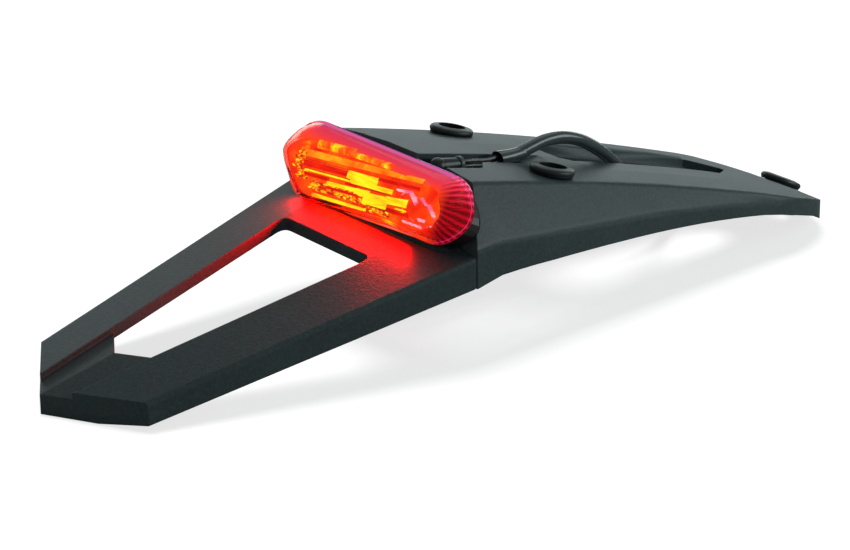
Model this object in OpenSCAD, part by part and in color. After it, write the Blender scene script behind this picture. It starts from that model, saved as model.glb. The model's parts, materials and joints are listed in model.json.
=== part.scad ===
// Rear fender extension for an off-road motorbike: one moulded body with a
// forked tail bracket, an arched tongue that bolts under the rear fender, and
// a wide tail lamp with its lead. Rear point at the left, tongue tip at +X.

/* [Overall] */
// Length from the rear point to the tip of the tongue
total_l = 400; // [390:2:420]
// Wall thickness of the moulding
wall = 2.8; // [2.2:0.1:3.4]
// Softness of the long edges of the moulding
edge_r = 1.6; // [0.8:0.2:2.4]

/* [Tail bracket] */
// Distance from the rear point forward to the outer shoulders
shoulder_u = 24; // [18:1:30]
// Width across the shoulders
shoulder_w = 82; // [74:1:90]
// Height of the outer edge at the shoulders
shoulder_z = 12; // [11:0.5:16]
// Upward slope of the bracket in degrees
plate_deg = 15.2; // [13:0.2:16.4]
// Fall of each arm towards its outer edge in degrees
arm_fall = 7.1; // [5:0.1:9]
// Spread of the outer edges in degrees
outer_spread = 9.8; // [8:0.1:11]
// Gap between the arms at the shoulders
arm_gap = 30; // [24:1:36]
// Spread of the inner edges in degrees
inner_spread = 8.5; // [7:0.1:9.5]
// Depth of the channel across the rear bridge
channel_d = 2.6; // [1.6:0.2:3.2]
// Skirt depth at the shoulders
shoulder_skirt = 9.5; // [8.5:0.5:11]
// Skirt depth where the bracket meets the block
block_skirt = 13; // [11:0.5:15]
// Distance from the rear point to the rear corner of the window
window_rear_u = 34; // [30:1:40]
// Distance from the rear point to the front edge of the window
window_front_u = 136; // [120:1:140]
// Corner radius at the front of the window
window_r = 5; // [3:0.5:8]
// Depth of the wall round the window
window_wall_h = 5.2; // [4:0.2:6.5]
// Thickness of the stiffening ribs
rib_t = 1.8; // [1.4:0.1:2.4]
// Number of ribs under each arm
rib_count = 4; // [2:1:6]

/* [Lamp block] */
// Distance from the rear point to the foot of the block's rear face
block_u = 162; // [156:1:168]
// Forward lean of the rear face in degrees
block_lean = 27.7; // [22:0.5:32]
// Height of the block above the bracket
block_h = 24.5; // [22.5:0.5:26]
// Width across the top edges at the block
block_top_w = 94.4; // [88:0.4:100]
// Width of the notch that lets the lead out behind the lamp
notch_w = 21; // [18:1:24]
// Distance from the rear point to the notch's front end
notch_front_u = 197; // [194:1:200]
// Height on the rear face where the notch begins
notch_v = 13; // [11:1:15]

/* [Tongue] */
// Slope of the tongue just in front of the block in degrees
tongue_deg = 10.7; // [9:0.1:12.5]
// Height of the top edge at the tip
tip_h = 7.6; // [7:0.2:9]
// Extra droop of the nose over its last stretch
nose_drop = 4.4; // [3:0.2:5]
// Length of the drooping nose
nose_len = 40; // [34:1:46]
// Width across the tongue's shoulders
tongue_w = 86; // [80:1:92]
// Length of the rounded tip
tip_len = 60; // [54:1:66]
// Rise of the crowned top above its edges
crown_h = 2.2; // [1.2:0.1:2.6]
// Skirt depth under the side panel, ahead of the block
tongue_skirt = 12; // [10.5:0.1:13.5]
// Skirt depth near the tip
tip_skirt = 4.8; // [4:0.2:5.6]
// Width of the groove that carries the wires from the notch to the slot
groove_w = 13; // [11:0.5:15]
// Half width of the slot at its rear end
slot_rear_half = 14.6; // [13.5:0.1:16]
// Half width of the slot where it starts to close
slot_front_half = 12.6; // [11:0.2:13.4]
// Distance from the rear point to the slot's rear end
slot_rear_u = 249; // [244:1:252]
// Distance from the tip back to where the slot starts to close
slot_close_in = 60; // [56:1:68]
// Distance from the tip back to the slot's front point
slot_end_in = 47.4; // [44:0.2:52]
// Width of the ledge inside the slot
ledge_w = 2.6; // [1.6:0.2:3.4]
// Depth of the ledge inside the slot
ledge_d = 2; // [1.4:0.2:2]

/* [Grommets] */
// Outer diameter of a grommet
grommet_od = 19; // [17:0.5:21]
// Bore of a grommet
grommet_bore = 11; // [9:0.5:12]
// Height of a grommet's bead above the moulding
grommet_proud = 3.6; // [2.6:0.2:4.4]
// Diameter of the hole that a grommet sits in
grommet_hole = 14; // [13:0.2:15]
// Distance from the rear point to the rear pair of grommets
rear_grommet_u = 225.6; // [222:0.4:232]
// Half spacing of the rear pair
rear_grommet_y = 34.8; // [34:0.2:35.6]
// Distance from the tip back to the front grommet
front_grommet_in = 11.4; // [11:0.2:16]

/* [Lamp] */
// Width of the lens across its flange
lens_w = 128; // [122:1:132]
// Height of the lens across its flange
lens_h = 31.6; // [29:0.2:33]
// Depth of the lens from its flange to its front face
lens_d = 9.4; // [8.6:0.2:11]
// Wall of the lens
lens_t = 2; // [1.6:0.1:2.4]
// Thickness of the foam gasket
gasket_t = 1.2; // [0.8:0.1:1.6]
// Depth of the lamp's tray
tray_d = 5.6; // [5:0.2:7]
// Number of light emitting diodes
led_count = 6; // [4:1:7]
// Diameter of the lamp's fixing screws
screw_d = 3.5; // [3:0.1:4]
// Half spacing of the lamp's fixing screws
screw_y = 41; // [39:0.5:43]

/* [Lead] */
// Diameter of the sleeve on the lead
sleeve_d = 5.6; // [4.8:0.1:6.2]
// Diameter of one wire
wire_d = 1.7; // [1.3:0.1:2]
// Length of the plug
plug_l = 26; // [22:1:30]
// Width of the plug
plug_w = 12; // [10:0.5:14]
// Height of the plug
plug_h = 9; // [8:0.5:11]

/* [Hidden] */
$fn = 48;

body_col = [0.10, 0.11, 0.11];
rubber_col = [0.04, 0.04, 0.04];
eps = 0.01;
seat = 0.3;
deep = 40;

// Bracket surfaces. u runs forward from the rear point and y across.
shoulder_half = shoulder_w / 2;
end_rake = shoulder_u / shoulder_half;
function plate_out(u) = shoulder_half + tan(outer_spread) * (u - shoulder_u);
function plate_in(u) = arm_gap / 2 + tan(inner_spread) * (u - shoulder_u);
function plate_z(u, y) = shoulder_z + tan(plate_deg) * (u - shoulder_u)
    + tan(arm_fall) * (shoulder_half - abs(y));
function skirt_line(u) = shoulder_z + tan(plate_deg) * (u - shoulder_u) - shoulder_skirt
    - (block_skirt - shoulder_skirt + tan(arm_fall) * (plate_out(block_u) - shoulder_half))
    * (u - shoulder_u) / (block_u - shoulder_u);
// The bottom of the rear end is flat, because the part rests on it
function plate_bottom(u) = max(0, skirt_line(u));
// Where the skirt line leaves the ground
foot_u = shoulder_u - skirt_line(shoulder_u) / (skirt_line(shoulder_u + 1) - skirt_line(shoulder_u));

// Block and tongue. Heights of the rear face are measured along it from its foot.
block_foot_z = plate_z(block_u, plate_in(block_u)) - 3.3;
function face_u(z) = block_u + tan(block_lean) * (z - block_foot_z);
block_top_z = block_foot_z + block_h;
block_top_u = face_u(block_top_z);
tongue_run = total_l - block_top_u;
tongue_sag = (block_top_z - tip_h - nose_drop - tan(tongue_deg) * tongue_run) / (tongue_run * tongue_run);
function nose(u) = max(0, u - total_l + nose_len) / nose_len;
function top_z(u) = block_top_z - tan(tongue_deg) * (u - block_top_u)
    - tongue_sag * (u - block_top_u) * (u - block_top_u) - nose_drop * nose(u) * nose(u);
function top_slope(u) = atan(tan(tongue_deg) + 2 * tongue_sag * (u - block_top_u)
    + 2 * nose_drop * nose(u) / nose_len);
front_grommet_u = total_l - front_grommet_in;
slot_close_u = total_l - slot_close_in;
slot_end_u = total_l - slot_end_in;
block_top_half = block_top_w / 2;
function top_half(u) = tongue_w / 2 - 1.2
    + (block_top_half - tongue_w / 2 + 1.2) * pow(max(0, 1 - (u - block_top_u) / 190), 1.6);
block_side_z = plate_z(block_u, plate_out(block_u)) + 3.6;
side_at_block = block_top_z - block_side_z;
side_at_tip = 2.6;
function side_drop(u) = let (t = max(0, (u - block_u) / (total_l - block_u)))
    side_at_tip + (side_at_block - side_at_tip) * (1 + cos(180 * pow(t, 0.77))) / 2;
side_rear_half = plate_out(block_u) + 0.3;
function side_half(u) = max(tongue_w / 2, side_rear_half
    - (side_rear_half - tongue_w / 2) * (u - block_u) / (total_l - tip_len - block_u));
function side_z(u) = top_z(max(u, block_top_u)) - side_drop(u);
skirt_at_block = block_side_z - plate_bottom(block_u);
function skirt_h(u) = let (t = (u - block_u) / (total_l - block_u))
    tongue_skirt + (tip_skirt - tongue_skirt) * min(1, max(0, t - 0.2) / 0.58)
    + (skirt_at_block - tongue_skirt) * pow(max(0, 1 - t / 0.24), 2);
// The last stretch of the skirt comes down to the ground at the tip
tip_fall_u = total_l - 14;
tip_flat_u = total_l - 5;
function tip_fall(u) = pow(min(1, max(0, u - tip_fall_u) / (tip_flat_u - tip_fall_u)), 2.2);
function tongue_bottom(u) = (side_z(u) - skirt_h(u)) * (1 - tip_fall(u));

// Crowned top: height above the edge line at a distance y from the middle
crown_fade_u = front_grommet_u - 60;
function crown(u) = crown_h * (1 - 0.55 * max(0, u - crown_fade_u) / (total_l - crown_fade_u));

// Corner of a profile softened to a short curve of n steps
function soft(a, b, c, r, n) =
    let (ra = min(r, 0.45 * norm(a - b)), rc = min(r, 0.45 * norm(c - b)),
         p = b + (a - b) / norm(a - b) * ra, q = b + (c - b) / norm(c - b) * rc)
    [for (i = [0:n]) let (t = i / n) (1 - t) * (1 - t) * p + 2 * t * (1 - t) * b + t * t * q];

// A closed ring from the half profile on the +Y side, at station u
function ring(u, half) = concat(
    [for (p = half) [u, p[0], p[1]]],
    [for (i = [len(half) - 1:-1:0]) [u, -half[i][0], half[i][1]]]);
// The same, leaning with the block's rear face and upright below its foot
function face_ring(half, gap) = concat(
    [for (p = half) [face_u(max(p[1], block_side_z)) + gap, p[0], p[1]]],
    [for (i = [len(half) - 1:-1:0])
        [face_u(max(half[i][1], block_side_z)) + gap, -half[i][0], half[i][1]]]);

// Solid between rings that are symmetric about the middle plane
module loft(rings) {
    n = len(rings[0]);
    m = len(rings);
    sides = [for (k = [0:m - 2]) for (i = [0:n - 1]) for (f = [
        [k * n + i, (k + 1) * n + i, (k + 1) * n + (i + 1) % n],
        [k * n + i, (k + 1) * n + (i + 1) % n, k * n + (i + 1) % n]]) f];
    rear = [for (i = [0:n / 2 - 2]) [i, i + 1, n - 2 - i, n - 1 - i]];
    front = [for (i = [0:n / 2 - 2])
        [(m - 1) * n + n - 1 - i, (m - 1) * n + n - 2 - i, (m - 1) * n + i + 1, (m - 1) * n + i]];
    polyhedron(points = [for (r = rings) for (p = r) p], faces = concat(rear, sides, front));
}

// Everything below is drawn from the rear point, then centred on the origin
module from_rear() {
    translate([-total_l / 2, 0, 0]) children();
}

// Half profile of the bracket, a little past the arm's inner edge
function plate_half(u) =
    let (o = min(plate_out(u), side_half(u) - 0.2), i = plate_in(u) - 1,
         a = [o, plate_bottom(u)], b = [o, plate_z(u, o)], c = [i, plate_z(u, i)])
    concat([a], soft(a, b, c, edge_r, 2), [c]);
plate_front_u = block_u + 12;

module plate_solid() {
    loft([for (u = [-2, foot_u, block_u, plate_front_u]) ring(u, plate_half(u))]);
}

// Pointed plan of the rear end, moved forward by back
module rear_point(back) {
    reach = 2.4;
    linear_extrude(2 * deep + block_top_z)
        polygon([[back, 0], [back + reach * shoulder_u, reach * shoulder_half],
                 [plate_front_u + 1, reach * shoulder_half],
                 [plate_front_u + 1, -reach * shoulder_half],
                 [back + reach * shoulder_u, -reach * shoulder_half]]);
}

// Channel across the rear bridge, with a crease along its middle
function channel_z(u, y) = plate_z(u, y) - channel_d;
module channel_cut() {
    loft([for (u = [-4, window_rear_u + 30])
        ring(u, [[0.6, channel_z(u, 0)], [plate_in(u), channel_z(u, plate_in(u))],
                 [plate_in(u), channel_z(u, 0) + deep]])]);
}

// Corner of the window's rear edge on the arm's inner side
function v_corner(grow) = let (g0 = plate_in(0) + grow, k = tan(inner_spread), u0 = window_rear_u - 1.3 * grow)
    (u0 + end_rake * g0) / (1 - end_rake * k);
function window_plan(grow) =
    let (uf = window_front_u + grow, yf = plate_in(uf) + grow, uc = v_corner(grow),
         yc = plate_in(uc) + grow, r = max(0.6, window_r + grow))
    concat([[window_rear_u - 1.3 * grow, 0], [uc, yc]],
           soft([uc, yc], [uf, yf], [uf, 0], r, 5),
           soft([uf, 0], [uf, -yf], [uc, -yc], r, 5), [[uc, -yc]]);
module window_cut(grow) {
    translate([0, 0, -deep]) linear_extrude(3 * deep + block_top_z) polygon(window_plan(grow));
}

// Space under the bracket's skin, open downwards
function under_half(u) = let (o = plate_out(u) - wall, i = plate_in(u) + wall)
    [[o, -deep], [o, plate_z(u, o) - wall], [i, plate_z(u, i) - wall],
     [i - 0.4, channel_z(u, 0) - wall]];
module plate_hollow() {
    difference() {
        intersection() {
            loft([for (u = [-2, plate_front_u]) ring(u, under_half(u))]);
            translate([0, 0, -deep]) rear_point(1.25 * wall);
        }
        window_cut(wall);
        plate_ribs();
    }
    // The wall round the window is shallower than the skirt
    intersection() {
        window_cut(wall + eps);
        loft([for (u = [window_rear_u - 10, window_front_u + 10])
            ring(u, [[plate_in(u) + 3 * wall, -deep],
                     [plate_in(u) + 3 * wall, plate_z(u, plate_in(u)) - window_wall_h],
                     [1, plate_z(u, plate_in(u)) - window_wall_h]])]);
    }
}

// Ribs across each arm, a little shallower than the wall round the window
rib_rear_u = window_rear_u + 18;
rib_pitch = (window_front_u - rib_rear_u) / (rib_count - 0.5);
rib_h = window_wall_h - 0.6;
module plate_ribs() {
    intersection() {
        loft([for (u = [-2, plate_front_u])
            ring(u, [[1, plate_z(u, 1) - rib_h], [plate_out(u) + 1, plate_z(u, plate_out(u) + 1) - rib_h],
                     [plate_out(u) + 1, plate_z(u, 0) + 1], [1, plate_z(u, 0) + 1]])]);
        for (i = [0:rib_count - 1])
            translate([rib_rear_u + i * rib_pitch, -1.5 * plate_out(block_u), -deep])
                cube([rib_t, 3 * plate_out(block_u), 3 * deep + block_top_z]);
    }
}

// Half profile of the tongue. The skirt is read at ul and the top at uc.
function tongue_half(ul, uc) =
    let (a = [side_half(ul), tongue_bottom(ul)], b = [side_half(ul), side_z(ul)],
         c = [top_half(uc), top_z(uc)], d = [0.62 * top_half(uc), top_z(uc) + 0.62 * crown(uc)],
         e = [0.25 * top_half(uc), top_z(uc) + crown(uc)])
    concat([a], soft(a, b, c, edge_r, 2), soft(b, c, d, edge_r, 3), [d, e]);
function tongue_inner(ul, uc) =
    [[side_half(ul) - wall, -deep],
     [side_half(ul) - wall, min(side_z(ul) - 0.4 * wall, top_z(uc) - wall - 0.4)],
     [min(top_half(uc) - 0.4 * wall, side_half(ul) - wall - 0.4), top_z(uc) - wall],
     [0.62 * top_half(uc), top_z(uc) + 0.62 * crown(uc) - wall],
     [0.25 * top_half(uc), top_z(uc) + crown(uc) - wall]];
stations = 22;
first_u = block_top_u + 3;
function station(k) = first_u + (total_l - first_u) * k / stations;

module tongue_solid() {
    intersection() {
        loft(concat([face_ring(tongue_half(block_u, block_top_u), 0)],
                    [for (k = [0:stations]) ring(station(k), tongue_half(station(k), station(k)))]));
        tongue_plan(0);
    }
}

// Plan of the tongue with its blunt rounded tip
tip_u = total_l - tip_len;
module tongue_plan(inset) {
    n = 14;
    tip = [for (i = [0:n]) let (a = 90 - 180 * i / n)
        [tip_u + (tip_len - inset) * pow(max(0, cos(a)), 0.86),
         (side_half(tip_u) + 0.6 - inset) * sin(a)]];
    wide = side_rear_half + 12;
    translate([0, 0, -deep]) linear_extrude(3 * deep + block_top_z)
        polygon(concat([[0, wide], [block_top_u, wide]], tip, [[block_top_u, -wide], [0, -wide]]));
}

module tongue_hollow() {
    face_gap = wall / cos(block_lean);
    difference() {
        intersection() {
            loft(concat([face_ring(tongue_inner(block_u, block_top_u), face_gap)],
                [for (k = [1:stations]) ring(station(k), tongue_inner(station(k), station(k)))]));
            tongue_plan(wall);
        }
        slot_rim();
        for (s = [1, -1]) at_grommet(rear_grommet_u, s * rear_grommet_y) grommet_pad();
        at_grommet(front_grommet_u, 0) grommet_pad();
        for (s = [1, -1]) on_face(s * screw_y, screw_v, -screw_pad_d) cylinder(h = deep, d = screw_d + 6);
    }
}

// Slot along the tongue, blunt at its rear end and pointed at its front
function slot_plan(grow) =
    [[slot_rear_u - grow, slot_rear_half - 4 + grow], [slot_rear_u + 5 - grow, slot_rear_half + grow],
     [slot_close_u, slot_front_half + grow], [slot_end_u + grow, 1.6 + grow / 2]];
module slot_cut(grow, low) {
    plan = slot_plan(grow);
    translate([0, 0, low]) linear_extrude(deep + block_top_z)
        polygon(concat(plan, [for (i = [len(plan) - 1:-1:0]) [plan[i][0], -plan[i][1]]]));
}
// Side and height on the rear face where the wires leave the lamp
boot_y = -16;
boot_v = 17.6;

// Notch behind the lamp and the groove from it to the slot, both on the lead's side
notch_y = boot_y - 2.5;
groove_y = boot_y + 1.5;
module lead_way() {
    n = notch_w / 2;
    g = groove_w / 2;
    translate([0, 0, block_foot_z + notch_v]) linear_extrude(deep)
        polygon([[block_u, notch_y - n], [notch_front_u - 3, notch_y - n], [notch_front_u + 3, groove_y - g],
                 [slot_rear_u + 2, groove_y - g], [slot_rear_u + 2, groove_y + g],
                 [notch_front_u, groove_y + g], [notch_front_u, notch_y + n], [block_u, notch_y + n]]);
}
// A prism that follows the top, from depth d down to depth e
module skin_band(d, e) {
    loft([for (k = [-1:stations]) let (u = first_u + (total_l - first_u) * k / stations)
        ring(u, [[top_half(u), top_z(u) - e], [top_half(u), top_z(u) - d]])]);
}
slot_rim_h = 8;
module slot_rim() {
    intersection() {
        slot_cut(wall * 0.8, 0);
        skin_band(-deep, slot_rim_h);
        translate([first_u + 14, -deep * 2, 0]) cube([total_l, deep * 4, deep * 3]);
    }
}
module slot_opening() {
    slot_cut(-ledge_w, -deep);
    lead_way();
    intersection() {
        slot_cut(0, -deep);
        skin_band(-deep, ledge_d);
    }
}
// Places a piece on the top skin, along its normal, at station u
module at_grommet(u, y) {
    translate([u, y, grommet_skin_z(u, y)]) rotate([0, top_slope(u), 0]) children();
}
function grommet_skin_z(u, y) = top_z(u)
    + (abs(y) > 0.62 * top_half(u)
        ? 0.62 * crown(u) * (top_half(u) - abs(y)) / (0.38 * top_half(u))
        : crown(u));
pad_t = 4.4;
module grommet_pad() {
    translate([0, 0, -pad_t]) cylinder(h = pad_t, d = grommet_od + 4);
}
module grommet_holes() {
    for (s = [1, -1]) at_grommet(rear_grommet_u, s * rear_grommet_y) grommet_drill();
    at_grommet(front_grommet_u, 0) grommet_drill();
}
module grommet_drill() {
    translate([0, 0, -deep / 2]) cylinder(h = deep, d = grommet_hole);
    // Flat seats for the upper bead and the lower bead
    cylinder(h = grommet_proud + 2, d = grommet_od + 1);
    translate([0, 0, -pad_t - deep / 2]) cylinder(h = deep / 2, d = grommet_od + 1);
}

// The block's rear face: local X points forward into it, Z points up along it
module on_block() {
    translate([block_u, 0, block_foot_z]) rotate([0, block_lean, 0]) children();
}
// A point on the face at height v and side y, looking out rearwards from depth off
module on_face(y, v, off) {
    on_block() translate([-off, y, v]) rotate([0, -90, 0]) children();
}
// A plan drawn in side and height, raised rearwards from depth off by t
module face_slab(off, t) {
    on_block() translate([-off, 0, 0]) rotate([90, 0, -90]) linear_extrude(t) children();
}

screw_v = 11;
screw_pad_d = wall + 3;
pocket_sink = 0.05;

module fender_body() {
    color(body_col) from_rear() difference() {
        union() {
            difference() {
                intersection() {
                    plate_solid();
                    translate([0, 0, -deep]) rear_point(0);
                }
                channel_cut();
                plate_hollow();
                window_cut(0);
            }
            tongue_solid();
        }
        tongue_hollow();
        slot_opening();
        grommet_holes();
        // The lamp's lower edge seats in a shallow pocket of the bracket
        face_slab(-pocket_sink, face_off) lens_outline(-seat);
        for (s = [1, -1]) on_face(s * screw_y, screw_v, -deep / 2) cylinder(h = deep / 2 + 1, d = screw_d + 0.6);
    }
}

// Lamp outline in side and height, moved in at the ends, the bottom and the top;
// six sides with round corners
lens_low = -3.4;
function lens_plan(ends, low, high) =
    let (h = lens_w / 2 - ends, lo = lens_low + low, hi = lens_low + lens_h - high,
         a = [h - 12, lo], b = [h + 3.6, lo + 0.45 * (hi - lo)], c = [h - 14, hi])
    concat(soft([0, lo], a, b, 10, 4), soft(a, b, c, 11, 5), soft(b, c, [0, hi], 12, 4));
module lens_outline(inset) {
    plan = lens_plan(inset, inset, inset);
    polygon(concat(plan, [for (i = [len(plan) - 1:-1:0]) [-plan[i][0], plan[i][1]]]));
}

tray_off = gasket_t;
tray_inset = 1.6;
gasket_inset = tray_inset + 0.6;
gasket_w = 3;
flange_off = tray_off + tray_d;
face_off = flange_off + lens_d;
module lamp_gasket() {
    color(rubber_col) from_rear() face_slab(0, gasket_t) difference() {
        lens_outline(gasket_inset);
        lens_outline(gasket_inset + gasket_w);
    }
}

tray_floor = 1.8;
module lamp_tray() {
    color([0.08, 0.08, 0.09]) from_rear() difference() {
        face_slab(tray_off, tray_d) lens_outline(tray_inset);
        face_slab(tray_off + tray_floor, tray_d) difference() {
            lens_outline(tray_inset + lens_t);
            for (s = [1, -1]) translate([s * screw_y, screw_v]) circle(d = screw_d + 3.6);
        }
        for (s = [1, -1]) on_face(s * screw_y, screw_v, tray_off - 1)
            cylinder(h = tray_d - tray_floor / 2, d = screw_d + 0.05);
        on_face(boot_y, boot_v, tray_off - 1) cylinder(h = tray_floor + 2, d = 5);
    }
}

board_t = 1.4;
board_half = 36;
board_low = 4;
board_h = 14;
board_off = tray_off + tray_floor + seat;
module led_board() {
    color([0.05, 0.25, 0.12]) from_rear() difference() {
        face_slab(board_off, board_t) translate([-board_half, board_low]) square([2 * board_half, board_h]);
        for (s = [1, -1]) on_face(s * (board_half - 3), board_low + 3, board_off - 1)
            cylinder(h = board_t + 2, d = 2.4);
    }
}
chip_w = 3.6;
chip_t = 1.2;
chip_off = board_off + board_t;
led_v = board_low + board_h / 2;
led_pitch = 2 * (board_half - 7) / (led_count - 1);
module led_chips() {
    color([0.95, 0.9, 0.55]) from_rear() for (i = [0:led_count - 1])
        face_slab(chip_off, chip_t)
            translate([-board_half + 7 + i * led_pitch - chip_w / 2, led_v - chip_w / 2]) square(chip_w);
}
module board_resistors() {
    color([0.08, 0.08, 0.08]) from_rear() for (i = [0:led_count - 2])
        face_slab(chip_off, 0.6)
            translate([-board_half + 7 + (i + 0.5) * led_pitch - 1, board_low + 1]) square([2, 1.2]);
}

// Reflector: a tray of square cups, one round each diode, that widen outwards
reflector_off = chip_off + 0.4;
reflector_d = face_off - lens_t - reflector_off - 5.6;
cup_top = led_pitch - 1.4;
cup_low = 5.4;
module reflector_cup(y) {
    n = [[-1, -1], [1, -1], [1, 1], [-1, 1]];
    points = [for (e = [[-eps, cup_low, cup_low], [reflector_d + eps, cup_top, board_h]]) for (c = n)
        [-reflector_off - e[0], y + c[0] * e[1] / 2, led_v + c[1] * e[2] / 2]];
    on_block() polyhedron(points = points, faces = [[3, 2, 1, 0], [4, 5, 6, 7],
        [0, 1, 5, 4], [1, 2, 6, 5], [2, 3, 7, 6], [3, 0, 4, 7]]);
}
module lamp_reflector() {
    color([0.85, 0.85, 0.86]) from_rear() difference() {
        face_slab(reflector_off, reflector_d)
            translate([-board_half - 1, board_low - 1]) square([2 * board_half + 2, board_h + 2]);
        for (i = [0:led_count - 1]) reflector_cup(-board_half + 7 + i * led_pitch);
    }
}

// Clear light guide in front of the reflector, with three long bars
prism_off = reflector_off + reflector_d + seat;
module lamp_prism() {
    color([1, 0.75, 0.35, 0.6]) from_rear() {
        face_slab(prism_off, 1.6)
            translate([-board_half - 1, board_low - 1]) square([2 * board_half + 2, board_h + 2]);
        for (v = [0.2, 5.6, 11]) face_slab(prism_off + 1.6 - eps, 1.9)
            translate([-board_half, board_low + v]) square([2 * board_half, 2.8]);
    }
}

// Lens: a flange, round ends, a long sloping top wall, a steep bottom wall and a
// flatter front face, all hollow. Each row has the depth and the three insets.
function lens_ring(row) = let (plan = lens_plan(row[1], row[2], row[3])) concat(
    [for (p = plan) [-row[0], p[0], p[1]]],
    [for (i = [len(plan) - 1:-1:0]) [-row[0], -plan[i][0], plan[i][1]]]);
face_ends = 9.4;
face_low = 2.2;
face_high = 8.4;
function lens_skin(t) = [
    [flange_off + (t > 0 ? -1 : 0), 1.2 + t, 0.6 + t, 0.8 + t],
    [flange_off + 0.18 * lens_d, 1.2 + t, 0.6 + t, 0.9 + t],
    [flange_off + 0.46 * lens_d, 2.4 + t, 0.7 + t, 2.8 + t],
    [flange_off + 0.76 * lens_d - 0.4 * t, 4.7 + t, 1 + t, 5.4 + t],
    [face_off - 0.7 - 0.8 * t, face_ends - 2 + t, face_low - 0.8 + t, face_high - 1 + t],
    [face_off - t, face_ends + t, face_low + t, face_high + t]];
module lens_form(t) {
    skin = lens_skin(t);
    on_block() loft([for (i = [len(skin) - 1:-1:0]) lens_ring(skin[i])]);
}
module lamp_lens() {
    color([0.8, 0.05, 0.04, 0.5]) from_rear() difference() {
        union() {
            lens_form(0);
            // Thin outer flange that laps the tray
            face_slab(flange_off, 1.6) lens_outline(0);
        }
        lens_form(lens_t);
    }
}

module lamp_screws() {
    color([0.6, 0.6, 0.62]) from_rear() for (s = [1, -1]) {
        on_face(s * screw_y, screw_v, -screw_pad_d - 2.2) cylinder(h = 2.2 - eps, d = 2 * screw_d);
        on_face(s * screw_y, screw_v, -screw_pad_d - eps * 2)
            cylinder(h = screw_pad_d + tray_off + tray_d - tray_floor - 1, d = screw_d);
    }
}

// Elbow boot behind the lamp that turns the wires forwards
boot_d = 7.6;
boot_l = 12;
boot_droop = 6;
boot_neck_l = 7;
boot_bend = [block_u + sin(block_lean) * boot_v + cos(block_lean) * boot_neck_l, boot_y,
             block_foot_z + cos(block_lean) * boot_v - sin(block_lean) * boot_neck_l];
boot_top = [block_top_u + 6, boot_y, block_top_z - 2.6];
boot_lean = atan2(boot_top[0] - boot_bend[0], boot_top[2] - boot_bend[2]);
boot_tip = boot_top + boot_l * [cos(boot_droop), 0, -sin(boot_droop)];
module lamp_boot() {
    color(rubber_col) from_rear() {
        on_face(boot_y, boot_v, -boot_neck_l - boot_d / 2)
            cylinder(h = boot_neck_l + boot_d / 2 + tray_off - 0.05, d = boot_d);
        translate(boot_bend) rotate([0, boot_lean, 0]) translate([0, 0, -boot_d / 2])
            cylinder(h = norm(boot_top - boot_bend) + boot_d / 2, d = boot_d - 0.4);
        translate(boot_top) sphere(d = boot_d);
        translate(boot_top) rotate([0, 90 + boot_droop, 0]) cylinder(h = boot_l, d1 = boot_d - 0.4, d2 = 5.6);
    }
}

// Round tube along a route
function unit(v) = v / norm(v);
function route_dir(pts, i) = unit(pts[min(len(pts) - 1, i + 1)] - pts[max(0, i - 1)]);
function catmull(a, b, c, d, t) = 0.5 * (2 * b + (c - a) * t + (2 * a - 5 * b + 4 * c - d) * t * t
    + (3 * b - a - 3 * c + d) * t * t * t);
function smooth_route(p, n) = let (m = len(p)) concat(
    [for (i = [0:m - 2]) for (k = [0:n - 1])
        catmull(p[max(0, i - 1)], p[i], p[i + 1], p[min(m - 1, i + 2)], k / n)], [p[m - 1]]);
module tube(pts, d, sides) {
    m = len(pts);
    rings = [for (i = [0:m - 1]) let (t = route_dir(pts, i), s = unit(cross([0.12, 0.2, 1], t)), w = cross(t, s))
        for (k = [0:sides - 1]) let (a = 360 * k / sides) pts[i] + d / 2 * (cos(a) * s + sin(a) * w)];
    sides_f = [for (i = [0:m - 2]) for (k = [0:sides - 1]) for (f = [
        [i * sides + k, (i + 1) * sides + k, (i + 1) * sides + (k + 1) % sides],
        [i * sides + k, (i + 1) * sides + (k + 1) % sides, i * sides + (k + 1) % sides]]) f];
    polyhedron(points = rings, faces = concat([[for (k = [0:sides - 1]) k]], sides_f,
        [[for (k = [sides - 1:-1:0]) (m - 1) * sides + k]]));
}

mouth = [221, -13.5, 64.8];
module lead_wire(dy, dz, sag) {
    tube(smooth_route([boot_tip + [0.2, dy, dz], boot_tip + [5, dy, dz - 0.6],
        (boot_tip + mouth) / 2 + [0, dy, dz - sag], mouth + [-4, dy, dz + 0.2],
        mouth + [-0.1, dy, dz]], 3), wire_d, 8);
}
module lead_wire_tail() { color([0.06, 0.05, 0.05]) from_rear() lead_wire(0, 1, 1); }
module lead_wire_stop() { color([0.06, 0.06, 0.05]) from_rear() lead_wire(0.95, -0.8, 1); }
module lead_wire_earth() { color([0.05, 0.05, 0.05]) from_rear() lead_wire(-0.95, -0.8, 1); }

// Shrunk collar where the wires enter the sleeve
module sleeve_mouth() {
    color(rubber_col) from_rear() translate(mouth) rotate([0, 86, 0]) cylinder(h = 3, d = sleeve_d + 0.6);
}

// Route of the lead: over the slot, down through it, and one fold on the ground
lead_route = [[224.2, -13.5, 65], [231, -13.4, 66.6], [239, -13, 67.9], [248, -12.6, 67.5],
    [258, -11.8, 64.6], [267, -10.6, 59.8], [276, -9, 53.4], [284, -7.6, 46.2], [292, -6, 38], [301, -3.4, 29],
    [311, 0.6, 20], [321, 6, 11.8], [331, 12, 5.4], [341, 17, 3], [350, 21, 3], [358, 26, 3], [363, 33, 3],
    [361, 41, 3], [354, 46, 3], [345, 47, 3], [335, 46.6, 3], [325, 46, 3], [315, 45.4, 3], [306, 45, 3]];
module lead_sleeve() {
    color([0.05, 0.05, 0.05]) from_rear() tube(smooth_route(lead_route, 2), sleeve_d, 10);
}

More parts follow.
